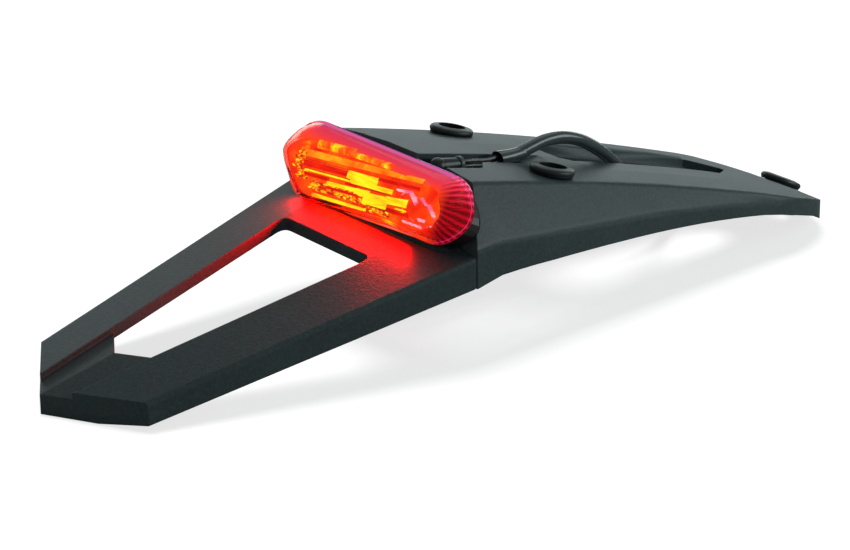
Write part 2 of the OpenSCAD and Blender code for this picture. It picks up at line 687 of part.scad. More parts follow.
// Two-part plug at the end of the lead, lying on the ground
plug_z = 3;
plug_end = lead_route[len(lead_route) - 1];
plug_turn = 3;
module at_plug() {
    translate([plug_end[0], plug_end[1], 0]) rotate([0, 0, 180 + plug_turn]) children();
}
module plug_seal() {
    color([0.5, 0.1, 0.08]) from_rear() at_plug() translate([0, 0, plug_z]) rotate([0, 90, 0])
        cylinder(h = 3, d = sleeve_d);
}
plug_bottom = 0.1;
module lead_plug() {
    color([0.12, 0.12, 0.13]) from_rear() at_plug() difference() {
        union() {
            translate([3, -plug_w / 2, plug_bottom]) cube([plug_l, plug_w, plug_h]);
            translate([7, -plug_w / 6, plug_bottom + plug_h - eps]) cube([plug_l * 0.4, plug_w / 3, 1.6]);
        }
        translate([3 + plug_l * 0.45, -plug_w / 2 + 1.3, plug_bottom + 1.3])
            cube([plug_l, plug_w - 2.6, plug_h - 2.6]);
    }
}
module plug_terminals() {
    color([0.75, 0.6, 0.3]) from_rear() at_plug() for (i = [-1, 0, 1])
        translate([3 + plug_l * 0.45 - eps, i * plug_w / 4.6 - 0.6, plug_bottom + plug_h / 2 - 0.4])
            cube([plug_l * 0.42, 1.2, 0.8]);
}

// Rubber grommet: two beads and a neck with a clearance to the hole
bead_low = 2.6;
module grommet() {
    neck_r = grommet_hole / 2 - 0.06;
    hole_r = grommet_bore / 2;
    bead_r = grommet_od / 2;
    color(rubber_col) rotate_extrude() polygon(concat(
        [[hole_r, -pad_t - bead_low], [bead_r - 0.8, -pad_t - bead_low], [bead_r, -pad_t - bead_low + 0.8],
         [bead_r, -pad_t - 0.05], [neck_r, -pad_t - 0.05], [neck_r, 0.05], [bead_r - 0.3, 0.05]],
        [for (i = [0:6]) let (a = -20 + i * 110 / 6)
            [bead_r - 1.8 + 1.8 * cos(a), grommet_proud - 1.8 + 1.8 * sin(a)]],
        [[hole_r + 1, grommet_proud - 0.2], [hole_r, grommet_proud - 1.2]]));
}
module grommet_rear_left() { from_rear() at_grommet(rear_grommet_u, rear_grommet_y) grommet(); }
module grommet_rear_right() { from_rear() at_grommet(rear_grommet_u, -rear_grommet_y) grommet(); }
module grommet_front() { from_rear() at_grommet(front_grommet_u, 0) grommet(); }

fender_body();
lamp_gasket();
lamp_tray();
led_board();
led_chips();
board_resistors();
lamp_reflector();
lamp_prism();
lamp_lens();
lamp_screws();
lamp_boot();
lead_wire_tail();
lead_wire_stop();
lead_wire_earth();
sleeve_mouth();
lead_sleeve();
lead_plug();
plug_terminals();
plug_seal();
grommet_rear_left();
grommet_rear_right();
grommet_front();
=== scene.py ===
"""Looks of a motorbike's rear fender extension: a black moulding, its lit tail lamp, lead and grommets."""

import json
import logging
import math
from dataclasses import dataclass, field, replace
from enum import Enum
from typing import Callable, Sequence

import bmesh
import bpy
from mathutils import Matrix, Vector


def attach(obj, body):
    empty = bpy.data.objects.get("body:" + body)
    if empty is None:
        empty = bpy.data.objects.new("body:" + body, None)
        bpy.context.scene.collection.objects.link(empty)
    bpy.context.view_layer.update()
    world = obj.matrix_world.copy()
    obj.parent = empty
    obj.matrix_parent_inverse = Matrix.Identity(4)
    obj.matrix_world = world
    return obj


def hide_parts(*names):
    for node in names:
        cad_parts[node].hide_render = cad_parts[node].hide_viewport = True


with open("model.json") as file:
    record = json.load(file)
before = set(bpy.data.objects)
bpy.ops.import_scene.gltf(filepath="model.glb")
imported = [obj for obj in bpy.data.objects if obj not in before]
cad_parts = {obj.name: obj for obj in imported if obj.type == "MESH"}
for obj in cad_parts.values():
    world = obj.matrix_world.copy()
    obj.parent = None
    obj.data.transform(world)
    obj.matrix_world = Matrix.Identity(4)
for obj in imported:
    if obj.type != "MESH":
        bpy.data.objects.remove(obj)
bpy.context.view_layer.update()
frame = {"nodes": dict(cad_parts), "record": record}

log = logging.getLogger("fender_extension")

MM = 0.001
REAR_U = 200.0
Row = tuple[float, float, float]


def place(point: Sequence[float]) -> Vector:
    """A point of the CAD, given from the rear point in millimetres.

    Args:
        point: distance forward of the rear point, side and height.

    Returns:
        The same point in the row frame, in metres.
    """
    return Vector(((point[0] - REAR_U) * MM, point[1] * MM, point[2] * MM))


def turned(origin: Vector, right: Vector, up: Vector) -> Matrix:
    """A matrix that takes millimetres on a bench to their place.

    Args:
        origin: where the bench's zero lies.
        right: direction of the bench's x.
        up: direction of the bench's y.

    Returns:
        The transform.
    """
    x = right.normalized()
    z = x.cross(up).normalized()
    y = z.cross(x)
    matrix = Matrix((x, y, z)).transposed().to_4x4()
    matrix.translation = origin
    return matrix @ Matrix.Scale(MM, 4)


def share(value: float, start: float, length: float) -> float:
    """How much of a stretch lies behind a value, held between 0 and 1.

    Args:
        value: the value.
        start: where the stretch begins.
        length: how long it is.

    Returns:
        The share.
    """
    return min(1.0, max(0.0, (value - start) / length))


def linked(name: str, data: bpy.types.ID) -> bpy.types.Object:
    """A new object of the scene.

    Args:
        name: its name.
        data: its mesh, curve, light or camera.

    Returns:
        The object.
    """
    made = bpy.data.objects.new(name, data)
    bpy.context.scene.collection.objects.link(made)
    return made


class Tree:
    """A node tree that is being drawn."""

    def __init__(self, tree: bpy.types.NodeTree) -> None:
        """Starts from an empty tree."""
        self.tree = tree
        tree.nodes.clear()

    def add(self, kind: str, values: dict | None = None, **settings) -> bpy.types.Node:
        """Adds a node.

        Args:
            kind: the node's type.
            values: what its input sockets start with.
            settings: its own properties.

        Returns:
            The node.
        """
        node = self.tree.nodes.new(kind)
        for key, value in settings.items():
            setattr(node, key, value)
        for key, value in (values or {}).items():
            node.inputs[key].default_value = value
        return node

    def join(self, start: bpy.types.NodeSocket, *ends: bpy.types.NodeSocket) -> None:
        """Links one output to each of the inputs."""
        for end in ends:
            self.tree.links.new(start, end)

    def put(self, slot: bpy.types.NodeSocket, value: "bpy.types.NodeSocket | float | Row | None") -> None:
        """Links a socket to an input, or gives the input a value."""
        if isinstance(value, bpy.types.NodeSocket):
            self.join(value, slot)
        elif value is not None:
            slot.default_value = value

    def math(self, kind: str, a: "bpy.types.NodeSocket | float",
             b: "bpy.types.NodeSocket | float | None" = None) -> bpy.types.NodeSocket:
        """One step of arithmetic on a socket.

        Args:
            kind: the operation.
            a: the first operand, a number or a socket.
            b: the second, likewise.

        Returns:
            The result's socket.
        """
        node = self.add("ShaderNodeMath", operation=kind)
        for slot, value in zip(node.inputs, (a, b)):
            self.put(slot, value)
        return node.outputs[0]

    def blend(self, factor: bpy.types.NodeSocket, a: bpy.types.NodeSocket,
              b: bpy.types.NodeSocket | tuple) -> bpy.types.NodeSocket:
        """Mixes two colours.

        Args:
            factor: how much of the second one shows.
            a: the first.
            b: the second, which may be plain numbers.

        Returns:
            The mixed colour's socket.
        """
        node = self.add("ShaderNodeMix", data_type="RGBA")
        for key, value in (("Factor", factor), ("A", a), ("B", b)):
            self.put(node.inputs[key], value)
        return node.outputs["Result"]

    def layer(self, factor: bpy.types.NodeSocket | float, under: bpy.types.Node,
              over: bpy.types.Node) -> bpy.types.Node:
        """Mixes two shaders.

        Args:
            factor: how much of the upper one shows.
            under: the lower one.
            over: the upper one.

        Returns:
            The mix, a shader again.
        """
        node = self.add("ShaderNodeMixShader")
        for slot, value in zip(node.inputs, (factor, under.outputs[0], over.outputs[0])):
            self.put(slot, value)
        return node

    def rays(self, *kinds: str) -> bpy.types.NodeSocket:
        """A factor that is 1 for two kinds of ray."""
        path = self.add("ShaderNodeLightPath")
        return self.math("MAXIMUM", *(path.outputs[kind] for kind in kinds))

    def remap(self, value: bpy.types.NodeSocket, limits: dict[str, float]) -> bpy.types.NodeSocket:
        """Takes a number from one range to another."""
        node = self.add("ShaderNodeMapRange", limits)
        self.join(value, node.inputs["Value"])
        return node.outputs[0]

    def split(self, vector: bpy.types.NodeSocket) -> bpy.types.Node:
        """The three numbers of a vector."""
        node = self.add("ShaderNodeSeparateXYZ")
        self.join(vector, node.inputs[0])
        return node

    def relief(self, shader: bpy.types.Node, height: bpy.types.NodeSocket, depth_mm: float,
               normal: bpy.types.NodeSocket | None = None) -> None:
        """Gives a shader a fine relief.

        Args:
            shader: what it lies on.
            height: the relief's height.
            depth_mm: how deep it is.
            normal: the normal that it starts from.
        """
        bump = self.add("ShaderNodeBump", {"Distance": depth_mm * MM})
        self.join(height, bump.inputs["Height"])
        self.put(bump.inputs["Normal"], normal)
        self.join(bump.outputs[0], shader.inputs["Normal"])

    def ramp(self, factor: bpy.types.NodeSocket, stops: Sequence[tuple[float, Row]]) -> bpy.types.NodeSocket:
        """A colour ramp over a factor.

        Args:
            factor: what the ramp reads.
            stops: position and colour of each stop.

        Returns:
            The colour's socket.
        """
        node = self.add("ShaderNodeValToRGB")
        elements = node.color_ramp.elements
        while len(elements) < len(stops):
            elements.new(0.5)
        for element, (position, colour) in zip(elements, stops):
            element.position = position
            element.color = (*colour, 1)
        self.join(factor, node.inputs[0])
        return node.outputs[0]


class Effect:
    """A shader group that several finishes place, built once."""

    built: dict[str, bpy.types.NodeTree] = {}

    @classmethod
    def group(cls, name: str, inputs: dict[str, float], outputs: dict[str, str],
              draw: Callable[[Tree, bpy.types.Node, bpy.types.Node], None]) -> bpy.types.NodeTree:
        """Builds a group, or gives it back if it is there.

        Args:
            name: the group's name.
            inputs: its number inputs and their defaults.
            outputs: its outputs and their socket types.
            draw: fills the tree between the group's input and output.

        Returns:
            The group.
        """
        if name not in cls.built:
            group = bpy.data.node_groups.new(name, "ShaderNodeTree")
            for key, value in inputs.items():
                socket = group.interface.new_socket(key, in_out="INPUT", socket_type="NodeSocketFloat")
                socket.default_value = value
            for key, kind in outputs.items():
                group.interface.new_socket(key, in_out="OUTPUT", socket_type=kind)
            tree = Tree(group)
            draw(tree, tree.add("NodeGroupInput"), tree.add("NodeGroupOutput"))
            cls.built[name] = group
        return cls.built[name]

    @classmethod
    def place(cls, tree: Tree, group: bpy.types.NodeTree, **values: float) -> bpy.types.Node:
        """Places a group in a material with its own values."""
        node = tree.add("ShaderNodeGroup", node_tree=group)
        for key, value in values.items():
            node.inputs[key].default_value = value
        return node

    @classmethod
    def grain(cls, tree: Tree, size: float, blotch: float) -> bpy.types.Node:
        """Spark-eroded grain of a moulding: a fine height and broad blotches.

        Args:
            tree: where it is placed.
            size: size of one grain in millimetres.
            blotch: size of one blotch in millimetres.

        Returns:
            The group's node, with Height and Blotch.
        """
        def draw(t: Tree, start: bpy.types.Node, end: bpy.types.Node) -> None:
            where = t.add("ShaderNodeTexCoord").outputs["Object"]
            fine = t.add("ShaderNodeTexNoise", {"Detail": 2.0, "Roughness": 0.6})
            cells = t.add("ShaderNodeTexVoronoi", feature="SMOOTH_F1")
            cloud = t.add("ShaderNodeTexNoise", {"Detail": 3.0, "Roughness": 0.55})
            t.join(where, fine.inputs["Vector"], cells.inputs["Vector"], cloud.inputs["Vector"])
            scale = t.math("POWER", t.math("MULTIPLY", start.outputs["Size"], MM), -1.0)
            t.join(scale, fine.inputs["Scale"])
            t.join(t.math("MULTIPLY", scale, 0.7), cells.inputs["Scale"])
            broad = t.math("POWER", t.math("MULTIPLY", start.outputs["Blotch"], MM), -1.0)
            t.join(broad, cloud.inputs["Scale"])
            height = t.math("ADD", t.math("MULTIPLY", fine.outputs["Fac"], 0.6),
                            t.math("MULTIPLY", cells.outputs["Distance"], 0.5))
            t.join(height, end.inputs["Height"])
            t.join(cloud.outputs["Fac"], end.inputs["Blotch"])

        group = cls.group("moulded_grain", {"Size": 0.5, "Blotch": 30.0},
                          {"Height": "NodeSocketFloat", "Blotch": "NodeSocketFloat"}, draw)
        return cls.place(tree, group, Size=size, Blotch=blotch)

    @classmethod
    def edge(cls, tree: Tree, radius: float) -> bpy.types.Node:
        """Softened edges: the rounded normal, and a mask that is 1 on an edge.

        Args:
            tree: where it is placed.
            radius: radius of the edges in millimetres.

        Returns:
            The group's node, with Normal and Edge.
        """
        def draw(t: Tree, start: bpy.types.Node, end: bpy.types.Node) -> None:
            bevel = t.add("ShaderNodeBevel", samples=6)
            t.join(t.math("MULTIPLY", start.outputs["Radius"], MM), bevel.inputs["Radius"])
            flat = t.add("ShaderNodeNewGeometry")
            dot = t.add("ShaderNodeVectorMath", operation="DOT_PRODUCT")
            t.join(bevel.outputs[0], dot.inputs[0], end.inputs["Normal"])
            t.join(flat.outputs["Normal"], dot.inputs[1])
            bent = t.math("SUBTRACT", 1.0, dot.outputs["Value"])
            t.join(t.math("MULTIPLY", bent, 4.0), end.inputs["Edge"])

        group = cls.group("soft_edge", {"Radius": 0.6},
                          {"Normal": "NodeSocketVector", "Edge": "NodeSocketFloat"}, draw)
        return cls.place(tree, group, Radius=radius)


@dataclass(frozen=True)
class Finish:
    """What every finish shares: a name, and a material made once."""

    name: str

    def material(self) -> bpy.types.Material:
        """The finish's material, built the first time that it is asked for."""
        found = bpy.data.materials.get(self.name)
        if found is None:
            found = bpy.data.materials.new(self.name)
            found.use_nodes = True
            tree = Tree(found.node_tree)
            tree.join(self.draw(tree), tree.add("ShaderNodeOutputMaterial").inputs["Surface"])
        return found

    def draw(self, tree: Tree) -> bpy.types.NodeSocket:
        """Draws the shader and gives its output."""
        raise NotImplementedError


@dataclass(frozen=True)
class Moulded(Finish):
    """A moulded plastic or rubber with grain, blotches, and edges lightened partly by scuffing and partly as
    a painted highlight.
    """

    dark: Row = (0.03, 0.04, 0.04)
    light: Row = (0.05, 0.06, 0.06)
    edge_scuff_highlight_tint: Row = (0.08, 0.09, 0.09)
    rough: tuple[float, float] = (0.45, 0.6)
    grain_mm: float = 0.5
    relief_mm: float = 0.03
    blotch_mm: float = 40.0
    edge_mm: float = 0.6
    scuff_and_highlight: float = 0.5
    specular: float = 0.5
    coat: float = 0.0
    mottle: float = 0.2

    def draw(self, tree: Tree) -> bpy.types.NodeSocket:
        """Draws the plastic."""
        shader = tree.add("ShaderNodeBsdfPrincipled", {
            "Specular IOR Level": self.specular, "Coat Weight": self.coat, "Coat Roughness": 0.12})
        grain = Effect.grain(tree, self.grain_mm, self.blotch_mm)
        edge = Effect.edge(tree, self.edge_mm)
        fleck = tree.math("MULTIPLY", tree.math("SUBTRACT", grain.outputs["Height"], 0.5), self.mottle * 2)
        colour = tree.ramp(tree.math("ADD", grain.outputs["Blotch"], fleck),
                           [(0.3, self.dark), (0.7, self.light)])
        # Edges blend towards a paler tint: partly scuffing from use, partly a painted highlight on the
        # rounded edges.
        scuffed_and_highlit = tree.math("MULTIPLY", edge.outputs["Edge"], self.scuff_and_highlight)
        tree.join(tree.blend(scuffed_and_highlit, colour, (*self.edge_scuff_highlight_tint, 1)), shader.inputs["Base Color"])
        tree.join(tree.remap(grain.outputs["Blotch"], {"To Min": self.rough[0], "To Max": self.rough[1]}),
                  shader.inputs["Roughness"])
        tree.relief(shader, grain.outputs["Height"], self.relief_mm, edge.outputs["Normal"])
        return shader.outputs[0]


@dataclass(frozen=True)
class Metal(Finish):
    """A plated or bare metal with fine scratches."""

    colour: Row = (0.6, 0.6, 0.6)
    rough: tuple[float, float] = (0.2, 0.4)
    scratch_mm: float = 0.004

    def draw(self, tree: Tree) -> bpy.types.NodeSocket:
        """Draws the metal."""
        shader = tree.add("ShaderNodeBsdfPrincipled", {"Metallic": 1.0})
        grain = Effect.grain(tree, 0.25, 6.0)
        dull = tuple(0.75 * c for c in self.colour)
        tree.join(tree.ramp(grain.outputs["Blotch"], [(0.35, dull), (0.65, self.colour)]),
                  shader.inputs["Base Color"])
        tree.join(tree.remap(grain.outputs["Blotch"], {"To Min": self.rough[0], "To Max": self.rough[1]}),
                  shader.inputs["Roughness"])
        tree.relief(shader, grain.outputs["Height"], self.scratch_mm)
        return shader.outputs[0]


@dataclass(frozen=True)
class Clear(Finish):
    """A clear tinted acrylic that lets light on the ground through it."""

    tint: Row = (1.0, 0.1, 0.06)
    rough: float = 0.03
    ripple_mm: float = 0.02
    ripple_size: float = 9.0
    index: float = 1.1
    gloss: float = 1.3
    shine: float = 0.6

    def draw(self, tree: Tree) -> bpy.types.NodeSocket:
        """Draws the acrylic."""
        shader = tree.add("ShaderNodeBsdfPrincipled", {
            "Base Color": (*self.tint, 1), "Roughness": self.rough, "IOR": self.index,
            "Transmission Weight": 1.0, "Coat Weight": self.shine, "Coat Roughness": 0.02,
            "Coat IOR": self.gloss})
        tree.relief(shader, Effect.grain(tree, self.ripple_size, 30.0).outputs["Height"], self.ripple_mm)
        through = tree.add("ShaderNodeBsdfTransparent", {"Color": (*self.tint, 1)})
        return tree.layer(tree.rays("Is Shadow Ray", "Is Diffuse Ray"), shader, through).outputs[0]


class Pattern(Enum):
    """How the light varies over a lit piece of the lamp's inside."""

    CLOUD = "cloud"
    SPECKLE = "speckle"
    STREAK = "streak"
    ALONG = "along"
    WALL = "wall"


@dataclass(frozen=True)
class Glow(Finish):
    """A moulded optic that the diodes light from behind; the bubble's glints and the near end's flute lines
    drawn with it are painted highlights instead. It reads the piece's face map.
    """

    stops: tuple[tuple[float, Row], ...] = ((0.3, (1, 0, 0)), (0.7, (1, 1, 0)))
    pattern: Pattern = Pattern.CLOUD
    size: float = 8.0
    strength: float = 1.0

    def draw(self, tree: Tree) -> bpy.types.NodeSocket:
        """Draws the lit optic."""
        shader = tree.add("ShaderNodeBsdfPrincipled", {
            "Base Color": (0.2, 0.01, 0.01, 1), "Roughness": 0.35, "Emission Strength": self.strength})
        where = tree.add("ShaderNodeUVMap", uv_map="face")
        spread = tree.add("ShaderNodeMapping")
        tree.join(where.outputs[0], spread.inputs["Vector"])
        per = 100.0 / self.size
        spread.inputs["Scale"].default_value = {
            Pattern.STREAK: (per * 0.15, per, 1), Pattern.ALONG: (1, 1, 1)}.get(self.pattern, (per, per, 1))
        if self.pattern is Pattern.SPECKLE:
            node = tree.add("ShaderNodeTexVoronoi", {"Scale": 1.0, "Randomness": 0.8}, feature="F1")
            tree.join(spread.outputs[0], node.inputs["Vector"])
            factor = tree.math("MULTIPLY", node.outputs["Distance"], 1.1)
        elif self.pattern is Pattern.ALONG:
            along = tree.split(spread.outputs[0]).outputs["X"]
            factor = tree.math("ADD", tree.math("MULTIPLY", along, 0.714), 0.5)
        elif self.pattern is Pattern.WALL:
            up = tree.split(where.outputs[0]).outputs["Y"]
            factor = tree.math("ADD", tree.math("MULTIPLY", up, 2.8), 0.16)
        else:
            node = tree.add("ShaderNodeTexNoise", {"Scale": 1.0, "Detail": 3.0, "Roughness": 0.6,
                                                   "Distortion": 0.6})
            tree.join(spread.outputs[0], node.inputs["Vector"])
            factor = node.outputs["Fac"]
        colour = tree.ramp(factor, self.stops)
        if self.pattern is Pattern.WALL:
            colour = self.fluted_end(tree, where.outputs[0], colour)
        tree.join(colour, shader.inputs["Emission Color"])
        return shader.outputs[0]

    @staticmethod
    def fluted_end(tree: Tree, where: bpy.types.NodeSocket,
                   colour: bpy.types.NodeSocket) -> bpy.types.NodeSocket:
        """Darkens the near end and draws the flutes over it: the lighter stripes and the pink upper edge are
        painted highlights.

        Args:
            tree: where it is drawn.
            where: the face map.
            colour: the lit colour under it.

        Returns:
            The colour with the end over it.
        """
        split = tree.split(where)
        along, up = split.outputs["X"], split.outputs["Y"]
        hub_along, hub_up, flutes_round = 0.30, 0.13, 62.0
        angle = tree.math("ARCTAN2", tree.math("SUBTRACT", up, hub_up),
                          tree.math("SUBTRACT", along, hub_along))
        sine = tree.math("SINE", tree.math("MULTIPLY", angle, flutes_round))
        wave = tree.math("ADD", tree.math("MULTIPLY", sine, 0.5), 0.5)
        # Painted highlights: the lighter stripes stand in for the flutes' bright lines, the pink ramp for a
        # highlight along the end's upper edge.
        stripes = tree.ramp(wave, [(0.2, (0.07, 0.0, 0.03)), (0.6, (0.16, 0.0, 0.08)),
                                   (0.9, (0.42, 0.01, 0.12))])
        pink = tree.ramp(wave, [(0.1, (0.34, 0.02, 0.25)), (0.6, (0.72, 0.12, 0.6)), (0.9, (0.9, 0.4, 1.3))])
        edge = tree.blend(tree.remap(up, {"From Min": 0.17, "From Max": 0.25}), stripes, pink)
        return tree.blend(tree.remap(along, {"From Min": 0.42, "From Max": 0.50}), colour, edge)


class Finishes:
    """Every finish of the part, by the name of its use."""

    MOULDING = Moulded("moulding_black", dark=(0.024, 0.038, 0.040), light=(0.043, 0.064, 0.066),
                       edge_scuff_highlight_tint=(0.085, 0.105, 0.105), rough=(0.42, 0.56), grain_mm=1.0,
                       relief_mm=0.11, blotch_mm=55, edge_mm=0.8, scuff_and_highlight=0.35, mottle=0.5)
    RUBBER = Moulded("grommet_rubber", dark=(0.012, 0.015, 0.016), light=(0.02, 0.024, 0.025),
                     edge_scuff_highlight_tint=(0.04, 0.045, 0.045), rough=(0.34, 0.46), grain_mm=0.35,
                     relief_mm=0.012, blotch_mm=6, edge_mm=0.3, scuff_and_highlight=0.3)
    # Painted shade: a near-black rubber on the bores' inner walls stands in for the shade deep in the holes.
    PAINTED_HOLE_SHADE = Moulded("grommet_bore_dark", dark=(0.003, 0.004, 0.004), light=(0.006, 0.007, 0.007),
                   edge_scuff_highlight_tint=(0.01, 0.01, 0.01), rough=(0.7, 0.8), grain_mm=0.35,
                   relief_mm=0.012, blotch_mm=6, edge_mm=0.2, scuff_and_highlight=0.1, specular=0.15)
    BOOT = Moulded("boot_rubber", dark=(0.008, 0.010, 0.011), light=(0.014, 0.017, 0.018),
                   edge_scuff_highlight_tint=(0.05, 0.055, 0.055), rough=(0.28, 0.4), grain_mm=0.3,
                   relief_mm=0.01, blotch_mm=5, edge_mm=0.3, scuff_and_highlight=0.5)
    RING = Moulded("boot_ring_grey", dark=(0.06, 0.07, 0.07), light=(0.1, 0.11, 0.11),
                   edge_scuff_highlight_tint=(0.2, 0.2, 0.2), rough=(0.3, 0.4), grain_mm=0.3,
                   relief_mm=0.01, blotch_mm=4, edge_mm=0.2, scuff_and_highlight=0.5)
    SLEEVE = Moulded("sleeve_gloss", dark=(0.036, 0.05, 0.052), light=(0.052, 0.07, 0.072),
                     edge_scuff_highlight_tint=(0.06, 0.06, 0.06), rough=(0.2, 0.3), grain_mm=1.6,
                     relief_mm=0.03, blotch_mm=12, edge_mm=0.2, scuff_and_highlight=0.1, specular=0.6, coat=0.4)
    WIRE_TAIL = Moulded("wire_tail_black", dark=(0.012, 0.010, 0.010), light=(0.02, 0.016, 0.016),
                        rough=(0.22, 0.32), grain_mm=0.5, relief_mm=0.006, blotch_mm=5, edge_mm=0.1)
    WIRE_STOP = replace(WIRE_TAIL, name="wire_stop_black", dark=(0.012, 0.012, 0.010),
                        light=(0.02, 0.02, 0.016))
    WIRE_EARTH = replace(WIRE_TAIL, name="wire_earth_black", dark=(0.010, 0.010, 0.010),
                         light=(0.017, 0.017, 0.018))
    TRAY = Moulded("lamp_tray_dark", dark=(0.02, 0.012, 0.013), light=(0.035, 0.02, 0.022),
                   edge_scuff_highlight_tint=(0.08, 0.03, 0.03), rough=(0.3, 0.45), grain_mm=0.4,
                   relief_mm=0.01, blotch_mm=12, edge_mm=0.3, scuff_and_highlight=0.4)
    FOAM = Moulded("gasket_foam", dark=(0.012, 0.012, 0.012), light=(0.025, 0.025, 0.025),
                   rough=(0.8, 0.95), grain_mm=0.7, relief_mm=0.12, blotch_mm=4, edge_mm=0.2)
    BOARD = Moulded("board_green", dark=(0.008, 0.07, 0.03), light=(0.015, 0.11, 0.05),
                    edge_scuff_highlight_tint=(0.2, 0.2, 0.1), rough=(0.25, 0.35), grain_mm=0.5,
                    relief_mm=0.01, blotch_mm=3, edge_mm=0.1, scuff_and_highlight=0.6, coat=0.3)
    RESISTOR = Moulded("resistor_dark", dark=(0.02, 0.02, 0.022), light=(0.035, 0.035, 0.04),
                       edge_scuff_highlight_tint=(0.4, 0.4, 0.4), rough=(0.3, 0.4), grain_mm=0.2,
                       relief_mm=0.004, blotch_mm=1, edge_mm=0.1, scuff_and_highlight=0.8)
    PLUG = Moulded("plug_nylon_black", dark=(0.016, 0.017, 0.018), light=(0.026, 0.027, 0.028),
                   edge_scuff_highlight_tint=(0.07, 0.07, 0.07), rough=(0.35, 0.45), grain_mm=0.3,
                   relief_mm=0.01, blotch_mm=8, edge_mm=0.3, scuff_and_highlight=0.5)
    SEAL = Moulded("seal_silicone_red", dark=(0.30, 0.03, 0.02), light=(0.42, 0.05, 0.03),
                   edge_scuff_highlight_tint=(0.5, 0.1, 0.07), rough=(0.35, 0.45), grain_mm=0.3,
                   relief_mm=0.006, blotch_mm=3, edge_mm=0.2)
    SCREW = Metal("screw_zinc", colour=(0.62, 0.63, 0.66), rough=(0.22, 0.4))
    TERMINAL = Metal("terminal_brass", colour=(0.78, 0.58, 0.25), rough=(0.18, 0.34))
    LENS = Clear("lens_red", tint=(1.0, 0.11, 0.07), rough=0.02, ripple_mm=0.03, ripple_size=10)
    CRYSTAL = Clear("optic_clear", tint=(1.0, 0.8, 0.85), rough=0.01, ripple_mm=0.02, ripple_size=3,
                    index=1.35)
    CHIP = Glow("chip_lit", stops=((0.0, (6, 6, 1.0)), (1.0, (7, 7, 1.5))), strength=1.6)
    BED = Glow("optic_bed", stops=((0.30, (0.75, 0.02, 0.0)), (0.52, (1.0, 0.45, 0.0)),
                                   (0.75, (1.0, 1.6, 0.0))), size=14)
    CLOUD = Glow("cloud_lit", stops=((0.42, (1.0, 0.5, 0.0)), (0.54, (1.0, 2.2, 0.0)),
                                     (0.7, (1.1, 8.0, 0.1))), size=6)
    HATCH = Glow("hatch_ribs", stops=((0.35, (1.0, 0.9, 0.0)), (0.65, (1.1, 4.0, 0.1))), size=10)
    DARK_BAR = Glow("bars_dark_red", stops=((0.4, (0.55, 0.0, 0.0)), (0.7, (0.95, 0.15, 0.0))),
                    pattern=Pattern.STREAK, size=3)
    LINE = Glow("lines_dark", stops=((0.4, (0.12, 0.05, 0.0)), (0.7, (0.4, 0.15, 0.0))),
                pattern=Pattern.STREAK, size=4)
    BRIGHT_BAR = Glow("bars_bright", stops=((0.32, (1.0, 3.0, 0.0)), (0.5, (1.1, 8.0, 0.1)),
                                            (0.7, (1.0, 11.0, 0.4))), pattern=Pattern.STREAK, size=3.5)
    DIAMOND = Glow("diamond_facets", stops=((0.2, (1.1, 8.5, 0.2)), (0.45, (1.0, 3.0, 0.0)),
                                            (0.7, (0.5, 0.1, 0.0))), pattern=Pattern.SPECKLE, size=1.7)
    BOWL = Glow("bowl_lit", stops=((0.0, (1.0, 0.04, 0.0)), (0.3, (1.0, 0.2, 0.02)), (0.70, (1.0, 0.45, 0.1)),
                                   (0.84, (0.62, 0.25, 1.3)), (0.94, (0.36, 0.35, 1.6)),
                                   (1.0, (0.6, 0.2, 1.0))), pattern=Pattern.WALL)
    RIM = Glow("rim_lit", stops=((0.0, (1.0, 0.3, 0.5)), (0.75, (1.0, 0.2, 0.5)), (1.0, (1.0, 0.0, 0.2))),
               pattern=Pattern.ALONG)
    # Painted highlights: emission that stands in for white reflections on the bubble's facets, not light from
    # the diodes.
    PAINTED_HIGHLIGHT = Glow("painted_highlight_pink", stops=((0.4, (0.9, 1.2, 4.0)), (0.62, (1.0, 5.0, 9.0))), size=9)


@dataclass
class Piece:
    """A finished piece on its way into the scene."""

    name: str
    finish: Finish
    slot: str
    replaces: tuple[str, ...] = ()
    sharp_deg: float = 32.0

    def make(self, bm: bmesh.types.BMesh, matrix: Matrix | None = None) -> bpy.types.Object:
        """Turns a bmesh into an object that rides on the part.

        Args:
            bm: the mesh, on its bench or in place. It is freed.
            matrix: takes the bench to the piece's place.

        Returns:
            The object.
        """
        if matrix is not None:
            bm.transform(matrix)
        bmesh.ops.remove_doubles(bm, verts=bm.verts, dist=1e-7)
        mesh = bpy.data.meshes.new(self.name)
        bm.to_mesh(mesh)
        bm.free()
        mesh.shade_smooth()
        mesh.set_sharp_from_angle(angle=math.radians(self.sharp_deg))
        mesh.materials.append(self.finish.material())
        return self.seat(linked(self.name, mesh))

    def seat(self, piece: bpy.types.Object) -> bpy.types.Object:
        """Lets an object ride on the part and hides the nodes that it stands for."""
        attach(piece, "root")
        if self.replaces:
            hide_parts(*self.replaces)
        log.info("%s: %s", self.name, self.finish.name)
        return piece


def dress(node: str, finish: Finish) -> bpy.types.Object:
    """Gives a CAD node its finish.

    Args:
        node: the node's name.
        finish: what it is made of.

    Returns:
        The node's object.
    """
    piece = frame["nodes"][node]
    piece.data.materials.clear()
    piece.data.materials.append(finish.material())
    log.info("%s: %s", node, finish.name)
    return piece


def map_face(bm: bmesh.types.BMesh) -> None:
    """Writes the bench's x and y into the face map, in units of 100 mm."""
    layer = bm.loops.layers.uv.new("face")
    for face in bm.faces:
        for loop in face.loops:
            loop[layer].uv = (loop.vert.co.x / 100, loop.vert.co.y / 100)


def bridge(bm: bmesh.types.BMesh, rings: Sequence[Sequence[bmesh.types.BMVert]]) -> None:
    """Joins each ring of corners to the next with faces.

    Args:
        bm: the mesh.
        rings: the rings in order, all with the same number of corners.
    """
    for lower, upper in zip(rings, rings[1:]):
        for i in range(len(lower)):
            j = (i + 1) % len(lower)
            bm.faces.new((lower[i], lower[j], upper[j], upper[i]))


